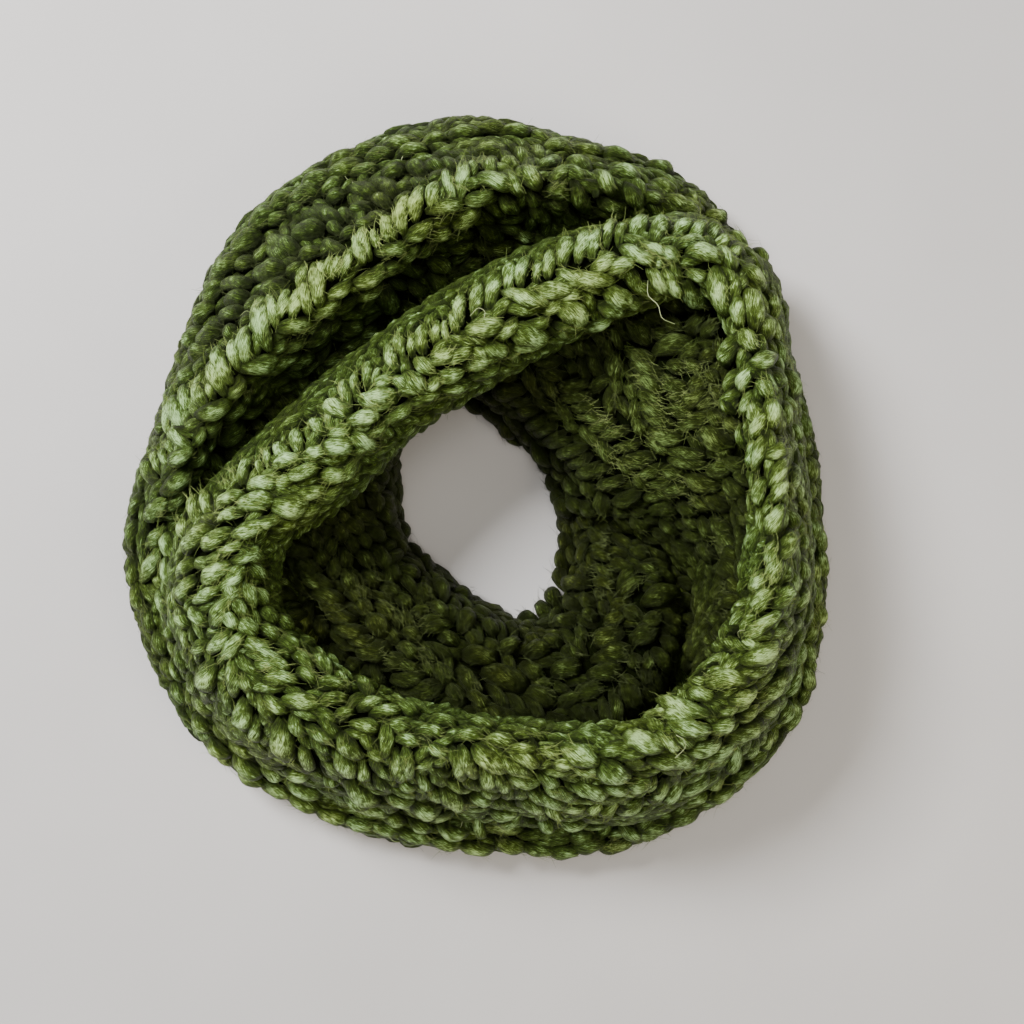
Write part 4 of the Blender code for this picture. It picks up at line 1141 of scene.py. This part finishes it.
def long_hairs(forest):
    """The photograph's long single hairs. Each starts on the cloth below its first point and goes on level
    with it a little above the plies, as a smooth curve through its points and a flat strip as wide as a
    hair."""
    eye = Vector(EYE)
    points, quads, shade = [], [], []
    for line in LONG_HAIRS.strip().split("\n"):
        rays = [eye_ray(u, v) for u, v in np.array(line.split(), float).reshape(-1, 2)]
        root = forest.ray_cast(eye, rays[0])[0]
        if root is None:
            continue
        high = root.z + HAIR_LIFT * np.minimum(np.arange(len(rays)), 1) + 1.0
        places = np.array([eye + ray * ((z - eye.z) / ray.z) for ray, z in zip(rays, high)])
        knots = np.arange(len(places), dtype=float)
        curve = hermite(places, knots, np.linspace(0, knots[-1], HAIR_POINTS), False)
        side = np.cross(np.gradient(curve, axis=0), (0, 0, 1.0))
        side /= np.linalg.norm(side, axis=1, keepdims=True)
        side *= HAIR_HALF_WIDTH
        strip = np.stack([curve - side, curve + side], axis=1)
        quads.append(grid_quads(HAIR_POINTS, 2) + 2 * HAIR_POINTS * len(points))
        points.append(strip.reshape(-1, 3))
        shade.append(np.ones((2 * HAIR_POINTS, 3)))
    return np.concatenate(points), np.concatenate(quads), np.concatenate(shade)


def linear(colour):
    """An sRGB hex colour as linear red, green, blue and alpha."""
    values = np.array([int(colour[k:k + 2], 16) / 255 for k in (1, 3, 5)])
    values = np.where(values <= 0.04045, values / 12.92, ((values + 0.055) / 1.055) ** 2.4)
    return (*values.tolist(), 1.0)


def node(tree, kind, settings=(), inputs=(), links=()):
    """Adds a node with its settings, its input values and the sockets that feed it."""
    made = tree.nodes.new(kind)
    for name, value in settings:
        setattr(made, name, value)
    for name, value in inputs:
        made.inputs[name].default_value = value
    for name, socket in links:
        tree.links.new(socket, made.inputs[name])
    return made


def ramp(tree, factor, stops):
    """A colour ramp through (place, colour) stops."""
    made = node(tree, "ShaderNodeValToRGB", links=[("Fac", factor)])
    elements = made.color_ramp.elements
    while len(elements) < len(stops):
        elements.new(0.5)
    for element, (place, colour) in zip(elements, stops):
        element.position = place
        element.color = linear(colour)
    return made.outputs["Color"]


def mix(tree, factor, first, second, kind="MIX"):
    """Mixes two colour sockets by a factor socket or number."""
    made = node(tree, "ShaderNodeMix", [("data_type", "RGBA"), ("blend_type", kind)])
    if isinstance(factor, float):
        made.inputs[0].default_value = factor
    else:
        tree.links.new(factor, made.inputs[0])
    for socket, value in ((6, first), (7, second)):
        if isinstance(value, tuple):
            made.inputs[socket].default_value = value
        else:
            tree.links.new(value, made.inputs[socket])
    return made.outputs[2]


def noise(tree, place, inputs):
    """The values of a noise at a place, from 0 to 1."""
    return node(tree, "ShaderNodeTexNoise", inputs=inputs, links=[("Vector", place)]).outputs["Fac"]


def weighted(tree, value, weight, rest):
    """A value times a weight, plus the rest: a socket or a number."""
    made = node(tree, "ShaderNodeMath", [("operation", "MULTIPLY_ADD")], [(1, weight)], [(0, value)])
    if isinstance(rest, float):
        made.inputs[2].default_value = rest
    else:
        tree.links.new(rest, made.inputs[2])
    return made.outputs["Value"]


def new_material(name):
    """A new material with its node tree and its shader."""
    material = bpy.data.materials.new(name)
    material.use_nodes = True
    return material, material.node_tree, material.node_tree.nodes["Principled BSDF"]


def fibre_streaks(tree, uv, turn, scale):
    """Noise drawn out along the fibre's own direction and turned by an angle to it, with its scale in noise
    cells a millimetre."""
    turned = node(tree, "ShaderNodeMapping", inputs=[("Rotation", (0.0, 0.0, turn))], links=[("Vector", uv)])
    drawn = node(tree, "ShaderNodeMapping", inputs=[("Scale", scale)],
                 links=[("Vector", turned.outputs["Vector"])])
    return noise(tree, drawn.outputs["Vector"], [("Scale", 1.0), ("Detail", 2.5), ("Roughness", 0.6)])


def wool(name, dark, deep, middle, light, warm):
    """Fuzzy plied wool, which the eye knows by short fine streaks of fibre along each ply, their pale ends
    painted highlight, painted shade deep in the crevices, painted highlight on the crowns, soft lumps, and
    patches of a warmer and a cooler green."""
    material, tree, shader = new_material(name)
    uv = node(tree, "ShaderNodeUVMap", [("uv_map", "fibre")]).outputs["UV"]
    place = node(tree, "ShaderNodeTexCoord").outputs["Object"]
    shade = node(tree, "ShaderNodeAttribute", [("attribute_name", "shade")]).outputs["Color"]
    parts = node(tree, "ShaderNodeSeparateColor", links=[("Color", shade)]).outputs
    # Streaks 3 to 5 mm long and 0.26 mm wide: bundles, as one wool fibre of 0.03 mm is too fine to draw
    streaks = fibre_streaks(tree, uv, 0.0, (0.2, 3.8, 1.0))
    crossing = fibre_streaks(tree, uv, 0.5, (0.3, 3.8, 1.0))
    both = weighted(tree, crossing, 0.6, streaks)
    # Lumps 3 mm wide and patches 36 mm wide, in the object's metres
    lumps = noise(tree, place, [("Scale", 330.0), ("Detail", 2.0)])
    patches = noise(tree, place, [("Scale", 28.0), ("Detail", 2.0)])
    # Painted light: the ramp runs from painted shade to painted highlight, led by the streaks, the painted
    # crown light (red), a random tint (green), the painted shade from rays and tones (blue) and the lumps.
    lit = weighted(tree, both, 1.9, -2.42)
    weights = ((parts["Red"], 0.8), (parts["Green"], 0.12), (parts["Blue"], 0.5), (lumps, 0.9))
    for value, weight in weights:
        lit = weighted(tree, value, weight, lit)
    colour = ramp(tree, lit, [(0.0, dark), (0.35, deep), (0.68, middle), (1.0, light)])
    warmth = node(tree, "ShaderNodeMapRange", inputs=[("From Min", 0.42), ("From Max", 0.68)],
                  links=[("Value", patches)]).outputs["Result"]
    colour = mix(tree, warmth, colour, mix(tree, 1.0, colour, linear(warm), "MULTIPLY"))
    tree.links.new(colour, shader.inputs["Base Color"])
    bump = node(tree, "ShaderNodeBump", inputs=[("Strength", 1.0), ("Distance", 0.0013)],
                links=[("Height", weighted(tree, lumps, 1.2, both))])
    tree.links.new(bump.outputs["Normal"], shader.inputs["Normal"])
    shader.inputs["Roughness"].default_value = 0.45
    shader.inputs["Specular IOR Level"].default_value = 0.3
    shader.inputs["Specular Tint"].default_value = linear("#DCEBA0")
    shader.inputs["Sheen Weight"].default_value = 0.03
    shader.inputs["Sheen Roughness"].default_value = 0.5
    shader.inputs["Sheen Tint"].default_value = linear("#A9BD62")
    return material


def hair(name, colour):
    """Single wool fibres, which the eye knows as a pale halo: painted paler than the yarn for light that
    passes through them, in patches 17 mm wide, and painted dim where their ply's painted shade is."""
    material, tree, shader = new_material(name)
    place = node(tree, "ShaderNodeTexCoord").outputs["Object"]
    patches = noise(tree, place, [("Scale", 60.0), ("Detail", 2.0)])
    shade = node(tree, "ShaderNodeAttribute", [("attribute_name", "shade")]).outputs["Color"]
    shown = mix(tree, 1.0, ramp(tree, patches, [(0.35, "#4A5A1C"), (0.75, colour)]), shade, "MULTIPLY")
    tree.links.new(shown, shader.inputs["Base Color"])
    shader.inputs["Roughness"].default_value = 0.7
    shader.inputs["Specular IOR Level"].default_value = 0.1
    return material


def floor_material():
    """Plain pale matt floor with a faint unevenness, so that the shadows lie softly on it."""
    material, tree, shader = new_material("pale_floor")
    place = node(tree, "ShaderNodeTexCoord").outputs["Object"]
    patches = noise(tree, place, [("Scale", 6.0), ("Detail", 3.0)])
    tree.links.new(ramp(tree, patches, [(0.3, "#C3BDB6"), (0.7, "#CAC4BD")]), shader.inputs["Base Color"])
    shader.inputs["Roughness"].default_value = 0.85
    return material


def crevice_shade_wool():
    """The same wool deep between the plies, painted dark as shade falls there, and matt, without a shine on
    its fuzz.
    """
    material = wool("crevice_shade_wool", "#0C1104", "#182008", "#2C3812", "#506428", "#FFE8C0")
    shader = material.node_tree.nodes["Principled BSDF"]
    shader.inputs["Specular IOR Level"].default_value = 0.05
    shader.inputs["Sheen Weight"].default_value = 0.0
    shader.inputs["Roughness"].default_value = 0.95
    return material


def hidden_layers(material):
    """The folded layers below the rims, on the CAD solid's own form with smooth shading."""
    core = bpy.data.objects["folded_layers"].data
    mesh = bpy.data.meshes.new("folded_layers_cloth")
    faces = [tuple(polygon.vertices) for polygon in core.polygons]
    mesh.from_pydata((folded_points() * MILLIMETRE).tolist(), [], faces)
    mesh.shade_smooth()
    piece = placed("folded_layers_cloth", mesh, material)
    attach(piece, "root")
    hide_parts("folded_layers")


def tucked_layer(walls, cloth, yarn, rng):
    """The strip's turned-in layer that closes the hollow below the crossing band: an upright wall below the
    outer line of the band's crest and down into the folded layers, with rows of plies on its side to the
    well."""
    named = {wall.node: wall for wall in walls}
    line = np.concatenate([named["right_rim"].grid[-TUCK_STATIONS:, BAND_RAIL],
                           named["crossing_band"].grid[:, BAND_RAIL]])
    step = np.gradient(line, axis=0) * (1, 1, 0)
    step /= np.linalg.norm(step, axis=1, keepdims=True)
    inwards = np.cross(step, (0, 0, 1))
    inwards *= np.sign(-(inwards * line).sum(axis=1, keepdims=True))
    drop = np.linspace(0, 1, TUCK_LEVELS)[None, :, None]
    top = line - (0, 0, TUCK_TOP)
    bottom = line * (1, 1, 0) + (0, 0, TUCK_FOOT)
    middle = top[:, None] * (1 - drop) + bottom[:, None] * drop
    face = middle + inwards[:, None] * TUCK_WALL / 2
    points, quads = closed_shell(face, middle - inwards[:, None] * TUCK_WALL / 2)
    # Painted shade: the tuck's shell and its plies are painted dark, as it lies in shade below the band.
    shade = np.full((len(points), 3), 0.2)
    add_piece("folded_layers_tuck", points, quads, cloth, points[:, [0, 2]], shade)
    strands = []
    for station in range(1, len(line) - 1, 2):
        for level, lean in ((1, 0.6), (2, -0.6), (3, 0.5), (4, -0.5)):
            way = step[station] * math.cos(lean) + np.array((0, 0, 1)) * math.sin(lean)
            place = face[station, level] + step[station] * rng.uniform(-1, 1)
            tips = place - way * 6, place, place + way * 6
            strands.append(Strand(*tips, inwards[station], 6.5, -1.0, NO_WALL, 0.35))
    add_plies("folded_layers_tuck_rows", strands, ROW_FINENESS, yarn, rng)


def floor():
    """A plain pale floor below the scarf."""
    side = 3.0
    corners = [(-side, -side, 0), (side, -side, 0), (side, side, 0), (-side, side, 0)]
    mesh = bpy.data.meshes.new("floor")
    mesh.from_pydata(corners, [], [(0, 1, 2, 3)])
    placed("floor", mesh, floor_material())


def light(name, place, aim, size, power, colour):
    """A soft square lamp at a place in metres, turned to a point."""
    lamp = bpy.data.lights.new(name, "AREA")
    lamp.size = size
    lamp.energy = power
    lamp.color = linear(colour)[:3]
    made = bpy.data.objects.new(name, lamp)
    made.location = place
    made.rotation_mode = "QUATERNION"
    made.rotation_quaternion = (Vector(aim) - Vector(place)).to_track_quat("-Z", "Y")
    bpy.context.scene.collection.objects.link(made)


def studio():
    """Soft light from the upper left of the picture, a weaker one from the lower right, a little from above
    to reach into the well, weak light all round, and the camera straight above."""
    aim = (0.0, 0.0, 0.05)
    light("key", (-0.62, 0.55, 1.0), aim, 0.4, 35.0, "#F4F8FF")
    light("fill", (0.9, -0.7, 0.9), aim, 0.7, 9.5, "#FFF6E4")
    light("overhead", (0.0, 0.05, 1.3), aim, 0.6, 5.5, "#FFFFFF")
    world = bpy.data.worlds.new("studio")
    world.use_nodes = True
    background = world.node_tree.nodes["Background"]
    background.inputs["Color"].default_value = linear("#EDF1F6")
    background.inputs["Strength"].default_value = 0.27
    bpy.context.scene.world = world
    lens = bpy.data.cameras.new("camera")
    lens.sensor_width = SENSOR
    lens.lens = SENSOR * EYE[2] / (PICTURE * FLOOR_PIXEL)
    camera = bpy.data.objects.new("camera", lens)
    camera.location = [value * MILLIMETRE for value in EYE]
    bpy.context.scene.collection.objects.link(camera)
    bpy.context.scene.camera = camera


def build():
    """Places the cloth, its stitches and its stray fibres. The yarn's four slots are one wool, each as
    bright as the light leaves it in the photograph."""
    rng = np.random.default_rng(SEED)
    walls = all_walls()
    forest, _ = joined_tree(enumerate(walls))
    # One wool in lit and shaded copies: the well's and the folded layers' copies are painted darker as shade.
    yarns = {
        "rim_yarn": wool("rim_wool", "#10160A", "#2A3810", "#59712A", "#C2E89E", "#FFF2DC"),
        "side_yarn": wool("side_wool", "#0F1408", "#283510", "#536A27", "#B6DA90", "#FFEFD0"),
        "well_yarn": wool("well_wool_shaded", "#080A02", "#181F06", "#303A0F", "#748A4C", "#FFEED4"),
        "hidden_yarn": wool("hidden_wool_shaded", "#0C1105", "#232D0C", "#4A5C20", "#9CBA6E", "#FFEAC8"),
    }
    # The crevice wool is painted dark as shade, on the shells below the plies, the folded layers and the tuck.
    crevices = crevice_shade_wool()
    fibres = hair("stray_fibres", "#A6B468")
    seen = seen_strands(walls, forest)
    for number, wall in enumerate(walls):
        own = [strand for strand in seen if strand.owner == number]
        filling = gap_strands(number, wall, seen, rng)
        filling += uncovered(filling_strands(number, wall, rng), seen, forest)
        cloth = shell(wall, crevices)
        yarn = yarns[wall.slot]
        if own:
            add_plies(wall.node + "_stitches", own, SEEN_FINENESS, yarn, rng)
        if filling:
            add_plies(wall.node + "_rows", filling, ROW_FINENESS, yarn, rng)
        points, quads, shade = fibre_mesh(own * SEEN_FIBRES + filling, rng)
        add_piece(wall.node + "_fibres", points, quads, fibres, shade=shade)
    points, quads, shade = long_hairs(forest)
    add_piece("long_hairs", points, quads, hair("long_fibres", "#D6DCA8"), shade=shade)
    hidden_layers(crevices)
    yarn = yarns["hidden_yarn"]
    folded = core_strands(joined_forest(walls), rng)
    add_plies("folded_layers_rows", folded, ROW_FINENESS, yarn, rng)
    tucked_layer(walls, crevices, yarn, rng)


build()
floor()
studio()
